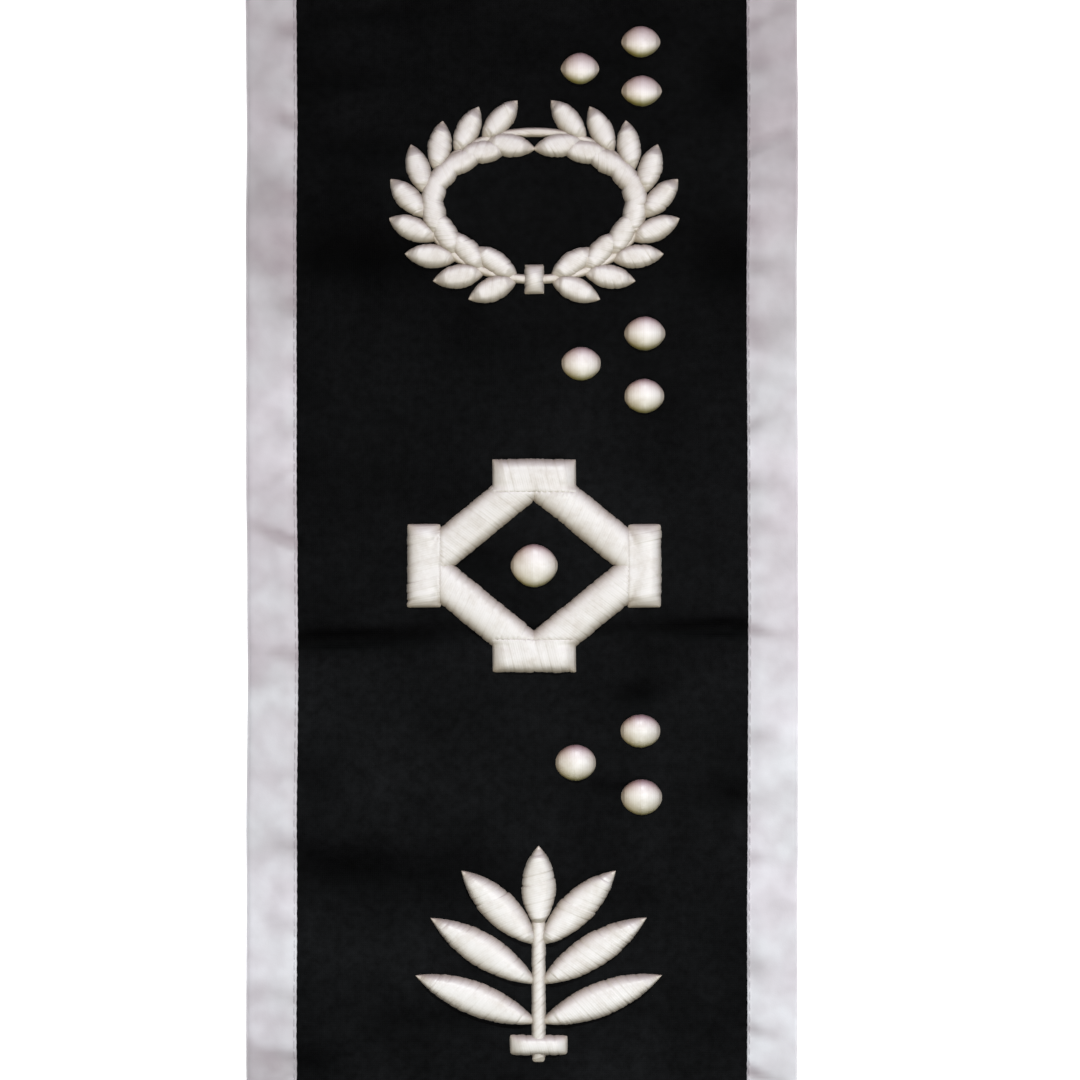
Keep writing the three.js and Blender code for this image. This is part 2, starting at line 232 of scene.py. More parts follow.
# Painted shade round the shoulder: the share of the light that it takes off the cloth, and where along the
# band it starts, stops, rises and falls
CLOTH_SHOULDER_SHADE = 0.33
SHOULDER_SHADE_STRETCH = SimpleNamespace(start=200 * MM, stop=430 * MM, rise=75 * MM, fall=60 * MM)
CLOTH_DARK = (0.0026, 0.0027, 0.0029, 1)
CLOTH_LIGHT = (0.0051, 0.0054, 0.0059, 1)

# Stretches that lift off the table, in millimetres: start and stop along their half, and the heights at the
# outer and the inner edge. Side -1 is the half with the embroidery, and side 1 the plain one
SWELLS = table(
    "side start stop outer inner",
    (-1, 332, 470, 3.2, 0.8),
    (-1, 470, 555, 0.6, 2.2),
    (1, 112, 205, 0.8, 2.4),
    (1, 205, 318, 2.8, 1.2),
    (1, 318, 452, 3.6, 1),
    (1, 452, 548, 0.8, 1.8),
)
# Soft folds across the band: place along, how far each moves along from the outer edge to the inner one,
# height, and half length on the side of the nape and on the side of the point
FOLDS = table(
    "side along slant height above below",
    (-1, 333, 3, 0.7, 16, 7),
    (-1, 311, -5, 0.45, 9, 5),
    (-1, 289, 2, 0.9, 11, 7),
    (-1, 240, -3, 0.9, 17, 10),
    (-1, 218, 3, 0.5, 7, 6),
    (-1, 176, -5, 0.9, 17, 6),
    (-1, 142, 3, 0.7, 14, 6),
    (-1, 101, -4, 0.8, 18, 8),
    (1, 96, 4, 0.7, 14, 9),
    (1, 158, -5, 0.6, 9, 14),
    (1, 236, 6, 0.6, 12, 8),
    (1, 301, -3, 0.7, 9, 13),
    (-1, 391, 6, 0.8, 13, 9),
    (-1, 498, -5, 0.7, 9, 14),
    (1, 384, -4, 0.7, 12, 10),
    (1, 446, 5, 0.6, 10, 8),
    (1, 541, -6, 0.7, 13, 9),
)
# Creases and hollows of the cloth alone, with painted shade, and bulges of below 0 depth, with painted
# light: place along and across, how far each moves along in ten reaches, depth, half length along and reach
# across
CREASES = table(
    "side along across slant depth width reach",
    (-1, 211.5, -34, 2.7, 1.3, 1.9, 16),
    (-1, 213.5, 12, 2.7, 0.5, 1.5, 45),
    (-1, 213.7, 37, 2.7, 0.9, 2.4, 10),
    (-1, 325, -28, 2, 0.4, 1.6, 14),
    (-1, 313, -33, 5, 0.55, 3.2, 12),
    (-1, 301, -31, -4, 0.5, 3.4, 14),
    (-1, 281, -32, 2, 0.85, 5.6, 15),
    (-1, 280, 37, -2, 0.85, 6.8, 8),
    (-1, 314, 37, 0, 0.7, 7.5, 6),
    (-1, 266, 4, 4, 0.3, 4.5, 22),
    (-1, 226, -10, -5, 0.35, 3.4, 12),
    (-1, 201.6, 21, 5, 0.7, 2.9, 5),
    (-1, 184.5, 17, -3, 0.5, 1.9, 7),
    (-1, 183.5, 38, 2, 0.6, 3, 6),
    (-1, 170, -31, -9, 0.75, 4.6, 18),
    (-1, 165, 8, -9, 0.3, 3.4, 20),
    (-1, 143, -6, 6, 0.35, 3, 22),
    (-1, 135, -38, 4, 0.6, 4.2, 6),
    (-1, 257, 6, 8, -0.3, 10, 16),
    (-1, 234, 12, 0, -0.3, 5, 28),
    (-1, 193, -20, 6, -0.35, 11, 24),
    (-1, 134, 8, 0, -0.5, 9, 34),
    (-1, 154, -28, 0, -0.4, 7, 16),
    (-1, 66, 10, 6, 0.6, 2, 60),
    (-1, 96, -20, -6, 0.5, 5, 22),
    (1, 131, 0, 8, 0.6, 1.8, 60),
    (1, 187, -20, -9, 0.5, 4.4, 30),
    (1, 222, 22, 5, 0.5, 5.5, 18),
    (1, 263, 10, 6, 0.6, 1.7, 70),
    (1, 296, -24, -4, 0.6, 6, 20),
    (1, 160, 12, 4, -0.45, 11, 26),
    (-1, 353, -12, 6, 0.6, 3.6, 28),
    (-1, 379, 22, -7, 0.65, 3, 22),
    (-1, 401, -24, 4, -0.55, 10, 26),
    (-1, 424, -8, 9, 0.6, 4.2, 32),
    (-1, 452, 14, -3, -0.5, 12, 28),
    (-1, 483, 6, -8, 0.65, 3.4, 38),
    (-1, 516, -20, 2, -0.5, 9, 24),
    (-1, 541, -4, 7, 0.5, 5, 26),
    (-1, 574, 16, -2, -0.45, 9, 28),
    (1, 348, 12, -6, 0.55, 4.4, 26),
    (1, 372, -20, 5, 0.7, 3, 26),
    (1, 397, 14, 0, -0.5, 11, 28),
    (1, 436, 2, -8, 0.6, 3.8, 36),
    (1, 462, -18, 6, -0.55, 10, 24),
    (1, 497, 18, 6, 0.6, 4, 26),
    (1, 529, -14, -5, 0.65, 3.2, 30),
    (1, 563, 4, 3, -0.5, 10, 30),
)
# Puckers of the photographed stretch, in millimetres: up from the photograph's foot, half length along the
# band, reach from the stitching, depth, and how far the pucker has moved up at 5 mm from the stitching
OUTER_PUCKERS = table(
    "up half reach depth lean",
    (190, 2.4, 4.5, 0.46, 0),
    (181.5, 1.4, 2, 0.28, 0),
    (173.3, 2, 3.6, 0.8, 0.4),
    (165.8, 1.6, 2.2, 0.28, 0),
    (158.2, 2.4, 5, 0.7, 0),
    (149, 2.6, 4.2, 0.35, 0.5),
    (139.6, 2.2, 4.6, 0.49, 0),
    (129, 2, 3, 0.21, 0),
    (118.5, 2.6, 5, 0.28, -1),
    (111, 1.5, 5.2, 0.32, -3),
    (96.6, 1.6, 5.4, 0.95, 2.3),
    (88, 2.4, 3, 0.18, 0),
    (76.6, 1.9, 5.5, 0.53, 0.6),
    (66, 2.4, 3.4, 0.18, 0),
    (54.5, 2, 3.8, 0.26, 0.5),
    (42, 2.6, 5.4, 0.53, 0.4),
    (27, 1.8, 5.4, 0.32, 1.8),
    (14.5, 1.6, 5, 0.32, 1.2),
    (3, 2.5, 9, 0.9, 1.4),
)
INNER_PUCKERS = table(
    "up half reach depth lean",
    (190, 1.6, 6, 0.28, 2.4),
    (183.5, 2, 3.6, 0.28, 0),
    (168.2, 1.7, 6.4, 0.63, 2),
    (161.5, 1.8, 3.2, 0.25, 0.5),
    (155, 2, 3.4, 0.28, 0),
    (147, 2.4, 4.6, 0.42, 0),
    (136, 3.4, 4.5, 0.28, -1),
    (127.5, 2.4, 5, 0.25, -0.8),
    (118, 1.8, 4, 0.46, 1.8),
    (107.6, 2.2, 4.4, 0.39, 0.6),
    (99.5, 2.6, 4, 0.25, 0),
    (90, 2.2, 3.6, 0.18, 0.4),
    (81.4, 1.5, 5, 0.63, -0.8),
    (62.5, 2, 4.4, 0.32, 0),
    (50.5, 2.6, 4.6, 0.25, 0),
    (40.4, 1.6, 5, 0.39, -0.7),
    (31, 2.2, 3.6, 0.18, 0.3),
    (20.5, 2.8, 5.2, 0.42, 0),
    (9.4, 1.6, 4.2, 0.53, -1.4),
    (1.5, 1.7, 8.5, 0.81, -2),
)
# Ranges for made-up puckers on the rest of the borders
CHANCE_PUCKERS = {"first": (2, 6), "spare": 3, "pitch": (7, 13), "half": (1.4, 2.6), "reach": (2.5, 6.5),
                  "depth": (0.18, 0.58), "lean": (-2.2, 2.2)}
PUCKER_DEPTH = 0.62 * MM
PUCKER_FLANK = 0.6
PUCKER_FADE = 3.2
PUCKER_LEAN_AT = 5
# Where the outer and the inner border start and end, in millimetres up from the photograph's foot
photo_top = PHOTO_SIDE / MM
loop_top = (2 * nape_end - PHOTO_FOOT) / MM
OUTER_ENDS = (-230, loop_top + 95)
INNER_ENDS = (-45, loop_top - 90)


def chance_rows(seed, start, stop, first, spare, pitch, **columns):
    """Made-up rows for a stretch. first is the range of the first one's distance from the start, and pitch
    that from one to the next, up to spare from the stop. The other columns are drawn from their own."""
    rng = np.random.default_rng(seed)
    rows = []
    up = start + rng.uniform(*first)
    while up < stop - spare:
        drawn = {name: rng.uniform(*span) for name, span in columns.items()}
        rows.append(SimpleNamespace(up=up, **drawn))
        up += rng.uniform(*pitch)
    return rows


def whole_loop(rows, seed, ends, chances, above=0):
    """The photograph's rows of a border, then chance ones from its start to the photograph's foot, and from
    the given distance above the photograph's top to the border's end."""
    before = chance_rows(seed, ends[0], 0, **chances)
    return rows + before + chance_rows(seed + 1, photo_top + above, ends[1], **chances)


def bump(distance, width):
    """A bell: e to the minus square of distance over width."""
    return np.exp(-((distance / width) ** 2))


def smooth(share):
    """From 0 to 1, level at both: 3 times the square less 2 times the cube."""
    return share**2 * (3 - 2 * share)


def ripple(x, y, length, seed):
    """Rough ground about 1 high: the sum of 20 cosines of about one wave length, with random ways and
    phases."""
    rng = np.random.default_rng(seed)
    waves = 20
    turn = rng.uniform(0, 2 * math.pi, waves)
    phase = rng.uniform(0, 2 * math.pi, waves)
    stretch = rng.uniform(0.7, 1.4, waves) * 2 * math.pi / length
    total = np.zeros(np.broadcast(x, y).shape)
    for angle, start, k in zip(turn, phase, stretch):
        total += np.cos(k * (x * math.cos(angle) + y * math.sin(angle)) + start)
    return total * math.sqrt(2 / waves)


def place_on_band(side, along, across):
    """Plan place of either half: the half at x < 0, turned over for side 1."""
    x, y = band_place(along, across)
    return np.where(np.asarray(side) > 0, -x, x), y


def lap_of(side, along):
    """Distance round the whole band: up the half at x < 0 to the nape, and on down the other one."""
    return np.where(side < 0, along, 2 * nape_end - along)


def half_of(lap):
    """Side and distance along it for a distance round the whole band."""
    return np.where(lap > nape_end, 1, -1), np.where(lap > nape_end, 2 * nape_end - lap, lap)


def drape(side, along, across):
    """Height of the whole band above lying flat. On soft long waves, each swell is a squared sine along its
    stretch, from its outer height to its inner one, and each fold is a bell along the band, longer on one
    side than on the other."""
    x, y = place_on_band(side, along, across)
    height = GROUND_HEIGHT * ripple(x, y, GROUND_WAVE, seed=3)
    inner_share = across / (2 * BAND_HALF) + 0.5
    for swell in SWELLS:
        share = (along / MM - swell.start) / (swell.stop - swell.start)
        wave = np.sin(math.pi * np.clip(share, 0, 1)) ** 2 * (side == swell.side)
        height = height + wave * (swell.outer + (swell.inner - swell.outer) * inner_share) * MM
    for fold in FOLDS:
        off = along / MM - fold.along - fold.slant * (inner_share - 0.5)
        bell = bump(off, np.where(off > 0, fold.above, fold.below)) * (side == fold.side)
        height = height + fold.height * MM * bell
    return height


def creases(side, along, across):
    """Height and painted shade of all creases. Each is a dip between two low shoulders, about its own place
    and fading across the band, and its painted shade is the bell of it, 1 at a depth of 0.8 mm, and painted
    light where the depth is below 0."""
    height = np.zeros(np.broadcast(along, across).shape)
    crease_shade_and_light = np.zeros(height.shape)
    for crease in CREASES:
        aside = (across / MM - crease.across) / crease.reach
        u = (along / MM - crease.along - crease.slant * aside / 10) / crease.width
        bell = np.exp(-(u**2) - aside**2) * (side == crease.side)
        height = height - crease.depth * MM * (1 - CREASE_SHOULDER * u**2) * bell
        crease_shade_and_light = crease_shade_and_light + crease.depth / DARKEST_DEPTH * bell
    return height, crease_shade_and_light


def pucker_relief(lap, from_stitching, rows):
    """The sum of all puckers: each is a dip with raised flanks along the band, fading with its reach into
    the ribbon, and sooner into the cloth, where from_stitching is below 0. Each changes only the stations
    within 4 half lengths and 12 mm of it."""
    height = np.zeros(lap.shape)
    foot = (lap - PHOTO_FOOT) / MM
    inside = from_stitching / MM
    for row in rows:
        near = np.abs(foot.mean(axis=1) - row.up) < 4 * row.half + 12
        u = (foot[near] - row.up - row.lean * inside[near] / PUCKER_LEAN_AT) / row.half
        fade = bump(inside[near], np.where(inside[near] > 0, row.reach, PUCKER_FADE))
        height[near] -= PUCKER_DEPTH * row.depth * (1 - PUCKER_FLANK * u**2) * np.exp(-(u**2)) * fade
    return height


def cloth_relief(side, along, across, pulls):
    """The cloth's own unevenness: short waves, waves beside the borders that fade inwards, the creases, the
    borders' puckers, the smooth step down into each border's fold, and bell-shaped dips at the seams."""
    x, y = place_on_band(side, along, across)
    edge_gap = BORDER_EDGE - np.abs(across)
    beside = np.clip(edge_gap / BESIDE_FROM, 0, 1) * np.exp(-np.maximum(edge_gap, 0) / BESIDE_REACH)
    waves = SHORT_HEIGHT * ripple(x, y, SHORT_WAVE, seed=4)
    waves = waves + BESIDE_HEIGHT * beside * ripple(along, across * 0.15, BESIDE_WAVE, seed=5)
    waves = waves + creases(side, along, across)[0] * np.clip(edge_gap / CREASE_FADE + 0.25, 0, 1)
    outer, inner = [pucker_relief(lap_of(side, along), -edge_gap, rows) for rows in pulls]
    tucked = smooth(np.clip(-(edge_gap + TUCKED_FROM) / TUCKED_WIDTH, 0, 1))
    mitre_gap = np.abs(x) + (along > LIMB)
    dips = TUCKED_DROP * tucked + SEAM_DIP * bump(np.minimum(mitre_gap, np.abs(along - LIMB)), SEAM_WIDTH)
    return waves + np.where(across < 0, outer, inner) - dips


def stations(start, stop, step, fine_start=False, fine_stop=False):
    """Even steps from start to stop, with a few closer ones at an end where a seam dips."""
    count = max(2, round((stop - start) / step))
    even = np.linspace(start, stop, count + 1)
    extra = [start + SEAM_STATIONS] * fine_start + [stop - SEAM_STATIONS] * fine_stop
    return np.unique(np.concatenate([even, *extra]))


def mitred_rows(mitre, stop, step, fine_stop=False):
    """Rows along a half of the band. mitre is the start at each place across. They lean from its slant to
    square just past the notch, and run straight from there to stop."""
    longest = SQUARE_ROW - mitre.min()
    share = stations(0, longest, step, fine_start=True)[:, None] / longest
    leaning = mitre + (SQUARE_ROW - mitre) * share
    straight = stations(SQUARE_ROW, stop, step, fine_stop=fine_stop)[1:, None]
    return np.concatenate([leaning, np.broadcast_to(straight, (straight.size, mitre.size))])


def front_rows(across, step):
    """Rows of a front panel, from the mitre seam to the shoulder seam."""
    mitre = (across + SEAM_GAP / math.cos(FRONT_ANGLE)) / math.tan(FRONT_ANGLE)
    return mitred_rows(mitre, LIMB - SEAM_GAP, step, fine_stop=True)


def tube_piece(name, tubes, material, closed_along=False):
    """One smooth skin over tubes, with its faces turned outwards. The last axes of a tube's points are ring,
    point of the ring and xyz. Each ring closes on itself, and so does the tube if it is closed along.
    Otherwise one face covers each of its ends."""
    faces = []
    first = 0
    for rings in tubes:
        index = first + np.arange(rings.size // 3).reshape(rings.shape[:-1])
        first += index.size
        here = index if closed_along else index[..., :-1, :]
        there = np.roll(index, -1, axis=-2) if closed_along else index[..., 1:, :]
        quads = [here, np.roll(here, -1, axis=-1), np.roll(there, -1, axis=-1), there]
        faces += np.stack(quads, axis=-1).reshape(-1, 4).tolist()
        if not closed_along:
            ends = np.stack([index[..., 0, ::-1], index[..., -1, :]])
            faces += ends.reshape(-1, ends.shape[-1]).tolist()
    mesh = bpy.data.meshes.new(name)
    mesh.from_pydata(np.concatenate([rings.reshape(-1, 3) for rings in tubes]), [], faces)
    work = bmesh.new()
    work.from_mesh(mesh)
    bmesh.ops.recalc_face_normals(work, faces=work.faces)
    work.to_mesh(mesh)
    work.free()
    mesh.polygons.foreach_set("use_smooth", np.ones(len(mesh.polygons), dtype=bool))
    mesh.materials.append(material)
    piece = bpy.data.objects.new(name, mesh)
    bpy.context.collection.objects.link(piece)
    return piece


def point_value(piece, name, values):
    """Gives the piece a point attribute, one number for each point."""
    piece.data.attributes.new(name, "FLOAT", "POINT").data.foreach_set("value", values.ravel())


def shoulder_shade_share(along):
    """Share of the painted shade round the shoulder: 1 round the shoulder and 0 on the rest, with smooth
    ends.
    """
    share = np.minimum((along - SHOULDER_SHADE_STRETCH.start) / SHOULDER_SHADE_STRETCH.rise, (SHOULDER_SHADE_STRETCH.stop - along) / SHOULDER_SHADE_STRETCH.fall)
    return smooth(np.clip(share, 0, 1))


def cloth_section(columns):
    """Once round the panel: even places across the band on its upper side and every eighth of them back on
    its under side, with 1 for the upper side and 0 for the under side."""
    top = np.linspace(-CLOTH_EDGE, CLOTH_EDGE, columns)
    under = top[::-8][1:-1]
    return np.concatenate([top, under]), np.concatenate([np.ones(top.size), np.zeros(under.size)])


def cloth_panel(name, side, along, section, pulls, material):
    """The panel's skin. along has a row for each station, and may differ across the row at the mitre. The
    point attribute lit is painted light and shade: below 1 in creases and round the shoulder, and above 1 on
    bulges."""
    across = np.broadcast_to(section[0], along.shape)
    x, y = place_on_band(side, along, across)
    lift = drape(side, along, across)
    top = CLOTH_TOP + lift + cloth_relief(side, along, across, pulls)
    under = CLOTH_BOTTOM + np.maximum(lift, -UNDER_SAG)
    z = np.where(section[1] > 0, np.maximum(top, under + CLOTH_THINNEST), under)
    piece = tube_piece(name, [np.stack([x, y, z], axis=-1)], material)
    # Painted shade in the creases and painted light on the bulges
    _, crease_shade_and_light = creases(side, along, across)
    lit = 1 - CREASE_PAINTED_SHADE * np.clip(crease_shade_and_light, 0, 1) + BULGE_PAINTED_LIGHT * np.clip(-crease_shade_and_light, 0, 1)
    # lit also holds the painted shade round the shoulder
    point_value(piece, "lit", lit * (1 - CLOTH_SHOULDER_SHADE * shoulder_shade_share(along)))
    return piece


def node(material, kind, output, *inputs, **settings):
    """One output of a new shader node. settings are the node's properties, or sockets with _ for a space in
    their names, and inputs feed its sockets in their order."""
    new = material.node_tree.nodes.new("ShaderNode" + kind)
    for name, value in settings.items():
        socket = new.inputs.get(name.replace("_", " "))
        if socket is None:
            setattr(new, name, value)
        else:
            feed(socket, value)
    for socket, value in zip(new.inputs, inputs):
        feed(socket, value)
    return new.outputs[output]


def noise(material, place, scale, detail, roughness):
    """Clouds of values about 0.5, with scale of them in a metre."""
    return node(material, "TexNoise", "Fac", place, Scale=scale, Detail=detail, Roughness=roughness)


def spread(material, value, start, stop, low=0, high=1):
    """From low to high while value goes from start to stop, and level beyond."""
    span = {"From_Min": start, "From_Max": stop, "To_Min": low, "To_Max": high}
    return node(material, "MapRange", "Result", value, **span)


def ramp(material, value, start, stop, *colours):
    """From the first colour to the second while value goes from start to stop."""
    colour = node(material, "ValToRGB", "Color", value)
    for element, position, shown in zip(colour.node.color_ramp.elements, (start, stop), colours):
        element.position = position
        element.color = shown
    return colour


def black_cloth(name, grain):
    """Black wool-like cloth: near-black with soft patches of painted sheen about 20 mm wide and mottling
    about 1 mm wide, painted shade in the creases and round the shoulder and painted light on bulges, a fine
    plain weave turned to the panel's grain, and a trace of nap."""
    material = new_material(name)
    place = node(material, "TexCoord", "Object")
    place = node(material, "Mapping", "Vector", place, Rotation=(0, 0, grain))
    mottle = noise(material, place, scale=620, detail=3, roughness=0.6)
    colour = ramp(material, mottle, 0.3, 0.7, CLOTH_DARK, CLOTH_LIGHT)
    # Soft patches of painted sheen, which brighten and darken the colour
    painted_sheen = noise(material, place, scale=52, detail=3, roughness=0.55)
    painted_sheen = spread(material, painted_sheen, 0.3, 0.7, low=0.6, high=1.4)
    # The attribute lit: painted shade in creases and round the shoulder, painted light on bulges
    lit = node(material, "Attribute", "Fac", attribute_name="lit")
    light = node(material, "Math", "Value", painted_sheen, lit, operation="MULTIPLY")
    colour = node(material, "VectorMath", "Vector", colour, operation="SCALE", Scale=light)
    weft = node(material, "TexWave", "Fac", place, bands_direction="X", Scale=830, Distortion=1.6)
    warp = node(material, "TexWave", "Fac", place, bands_direction="Y", Scale=780, Distortion=1.6)
    weave = node(material, "Math", "Value", weft, warp, operation="MAXIMUM")
    nap = node(material, "Math", "Value", weave, mottle, operation="ADD")
    relief = node(material, "Bump", "Normal", Strength=0.32, Distance=0.1 * MM, Height=nap)
    shade(material, Base_Color=colour, Normal=relief, Roughness=0.6, Specular_IOR_Level=0.022,
          Sheen_Weight=0.002, Sheen_Roughness=0.45)
    return material


fine_section = cloth_section(columns=112)
plain_section = cloth_section(columns=80)
neck_half = stations(LIMB + SEAM_GAP, nape_end, PLAIN_STEP, fine_start=True)
neck_lap = np.concatenate([neck_half, 2 * nape_end - neck_half[-2::-1]])[:, None]
neck_side, neck_along = half_of(neck_lap)
neck_along = np.broadcast_to(neck_along, (neck_lap.size, plain_section[0].size))
left_rows = front_rows(fine_section[0], FINE_STEP)
right_rows = front_rows(plain_section[0], PLAIN_STEP)
# All puckers of the outer border, and all of the inner one
pulls = [
    whole_loop(OUTER_PUCKERS, seed=7, ends=OUTER_ENDS, chances=CHANCE_PUCKERS),
    whole_loop(INNER_PUCKERS, seed=9, ends=INNER_ENDS, chances=CHANCE_PUCKERS),
]
panels = table(
    "name node side rows section grain flat area",
    ("left_cloth", "left_front_panel", -1, left_rows, fine_section, -FRONT_ANGLE, (0.198, 0.418), 0.0322),
    ("right_cloth", "right_front_panel", 1, right_rows, plain_section, FRONT_ANGLE, (0.198, 0.418), 0.0322),
    ("neck_cloth", "neck_panel", neck_side, neck_along, plain_section, 0.0, (0.429, 0.234), 0.0522),
)
for panel in panels:
    material = black_cloth(panel.name, panel.grain)
    piece = cloth_panel(panel.name, panel.side, panel.rows, panel.section, pulls, material)
    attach(piece, "root")
    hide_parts(panel.node)

# The ribbon borders.
# Satin ribbon 22 mm wide, silver grey with a lavender cast, folded over each edge of the band and stitched
# through close to its own edge. It is eased in small puckers that start at the stitching, and folded in a
# mitre at the point and at the notch.
RIBBON_THICK = 0.45 * MM
BAND_THICK = 3.8 * MM
BORDER_WIDTH = 9.3 * MM
FOLD_ROLL = 1.05 * MM
LONG_WAVE = 15 * MM
LONG_HEIGHT = 0.07 * MM
FINE_WAVE = 5 * MM
FINE_HEIGHT = 0.03 * MM
EDGE_WANDER = 0.09 * MM
WANDER_WAVE = 60 * MM
MITRE_DIP = 0.35 * MM
MITRE_WIDTH = 0.55 * MM
EASE_WAVE = 6.2 * MM
EASE_HEIGHT = 0.2 * MM
EASE_REACH = 62 * MM
NAPE_EASE = 0.35
STITCH_PITCH = 2.0 * MM
STITCH_LENGTH = 1.76 * MM
STITCH_RADIUS = 0.13 * MM
STITCH_RISE = 0.13 * MM
STITCH_SINK = 0.06 * MM
STITCH_FROM_EDGE = 0.42 * MM
STITCHED_DROP = 0.22 * MM
STITCHED_WIDTH = 1.3 * MM
DIMPLE = 0.06 * MM
DIMPLE_WIDTH = 0.8 * MM
SCALLOP = 0.035 * MM
RIBBON_DARK = (0.566, 0.551, 0.577, 1)
RIBBON_LIGHT = (0.668, 0.658, 0.692, 1)
PINKER = (1.0, 0.972, 0.99, 1)
GREENER = (0.978, 0.998, 0.992, 1)
# The ribbon's painted shade: its darker, warmer colour, the share of the light that it takes at most, the
# pucker depth that is fully shaded, the wave of the shaded stretches' uneven ends, and the stitches' extra
# share
PAINTED_SHADE_COLOUR = (0.605, 0.565, 0.567, 1)
PAINTED_SHADE_LOSS = 1 - PAINTED_SHADE_COLOUR[1]
PAINTED_SHADE_DEPTH = 0.5 * MM
PAINTED_SHADE_WAVE = 16 * MM
STITCH_DULL = 0.25
FLAT_STATIONS = 21
ROLL_STATIONS = 15

# Stretches of painted shade on the two ribbons in the photograph, in millimetres up from its foot, and the
# share of the light that each loses
OUTER_PAINTED_SHADE = table(
    "up half amount",
    (188, 24, 0.24),
    (152, 12, 0.39),
    (133, 11, 0.18),
    (113, 8, 0.12),
    (100, 8, 0.25),
    (87, 6, 0.15),
    (76, 6, 0.24),
    (61, 9, 0.15),
    (45, 8, 0.11),
    (14, 6, 0.15),
    (1, 5, 0.32),
)
INNER_PAINTED_SHADE = table(
    "up half amount",
    (185, 21, 0.33),
    (168, 4, 0.07),
    (149, 19, 0.27),
    (135, 5, 0.14),
    (120, 8, 0.12),
    (99, 10, 0.19),
    (82, 6, 0.17),
    (69, 7, 0.1),
    (49, 6, 0.11),
    (24, 6, 0.04),
)
# Ranges for made-up stretches of painted shade on the rest of the ribbons
CHANCE_PAINTED_SHADE = {"first": (4, 20), "spare": 6, "pitch": (12, 34), "half": (5, 19), "amount": (0.04, 0.3)}


def painted_ribbon_shade(puckers, lap, x, y, rows):
    """The ribbon's painted shade: up to 1 in deep puckers, and the sum of the rows' shares of the light.
    Each falls as e to the minus cube of the place in its half length, and a ripple makes the ends uneven."""
    foot = (lap - PHOTO_FOOT) / MM + 2 * ripple(x, y, PAINTED_SHADE_WAVE, seed=23)
    lost = np.zeros(foot.shape)
    for row in rows:
        lost += row.amount * np.exp(-np.abs((foot - row.up) / row.half) ** 3)
    return np.clip(-puckers / PAINTED_SHADE_DEPTH, 0, 1) + lost / PAINTED_SHADE_LOSS


def ribbon_section():
    """Once round the folded ribbon, as depth from the band's edge and height. The outside runs from the
    upper stitched edge over the fold, which is half an ellipse, to the lower stitched edge. The inside
    returns one ribbon thickness within it, with fewer points."""
    flat = np.linspace(BORDER_WIDTH, FOLD_ROLL, FLAT_STATIONS)
    roll = np.linspace(0, math.pi, ROLL_STATIONS)[1:-1]
    under_flat = flat[::-5]
    depth = np.concatenate([flat, FOLD_ROLL * (1 - np.sin(roll)), under_flat])
    height = np.concatenate([np.ones(flat.size), (1 + np.cos(roll)) / 2, np.zeros(under_flat.size)])
    outside = np.stack([depth, BAND_THICK * height], axis=1)
    ahead = np.gradient(outside, axis=0)
    normal = np.stack([-ahead[:, 1], ahead[:, 0]], axis=1)
    normal /= np.linalg.norm(normal, axis=1, keepdims=True)
    inside = (outside + normal * RIBBON_THICK)[::-2]
    return np.concatenate([outside, inside])


def loop_rows(across, step):
    """Rows of a whole border from the mitre round to the mitre, and the half of the collar each is on."""
    half = mitred_rows(across / math.tan(FRONT_ANGLE), nape_end, step)
    side = np.concatenate([np.full(len(half), -1), np.full(len(half) - 2, 1)])[:, None]
    return side, np.concatenate([half, half[-2:0:-1]])


def edge_wander(lap):
    """How far the ribbon strays across the band as it runs round it: ripples of one long wave length."""
    return EDGE_WANDER * ripple(lap, 0 * lap, WANDER_WAVE, seed=21)


def curve_tucks(along, from_stitching, edge):
    """Radial tucks where the ribbon is eased round the shoulder and, less, the nape: ripples along the band,
    which on the outer border open at the stitching and on the inner one at the fold."""
    on_shoulder = bump(along - (LIMB + shoulder_end) / 2, EASE_REACH)
    on_nape = (along > shoulder_end) * NAPE_EASE
    share = np.clip(from_stitching / BORDER_WIDTH, 0, 1)
    open_share = 1 - share if edge < 0 else share
    waves = ripple(along, 0 * along, EASE_WAVE, seed=31 if edge < 0 else 37)
    return EASE_HEIGHT * np.maximum(on_shoulder, on_nape) * open_share * waves


def ribbon_relief(edge, side, along, from_stitching):
    """The ribbon's face above its flat fold, and the puckers' part of it. The rest is short waves, the press
    and the dimples of the stitching, the tucks at the curves, and the dip along the mitre's fold."""
    lap = lap_of(side, along)
    across = edge * (BORDER_EDGE + from_stitching)
    x, _ = place_on_band(side, along, across)
    puckers = pucker_relief(lap, from_stitching, pulls[0] if edge < 0 else pulls[1])
    waves = LONG_HEIGHT * ripple(lap, across, LONG_WAVE, seed=11)
    waves = waves + FINE_HEIGHT * ripple(lap, across, FINE_WAVE, seed=12)
    from_stitches = from_stitching - STITCH_FROM_EDGE
    press = STITCHED_DROP * bump(from_stitches, STITCHED_WIDTH)
    dimples = DIMPLE * np.cos(2 * math.pi * lap / STITCH_PITCH) * bump(from_stitches, DIMPLE_WIDTH)
    tucks = curve_tucks(along, from_stitching, edge) - MITRE_DIP * bump(x, MITRE_WIDTH) * (along < LIMB)
    return waves - press + dimples + tucks + puckers, puckers


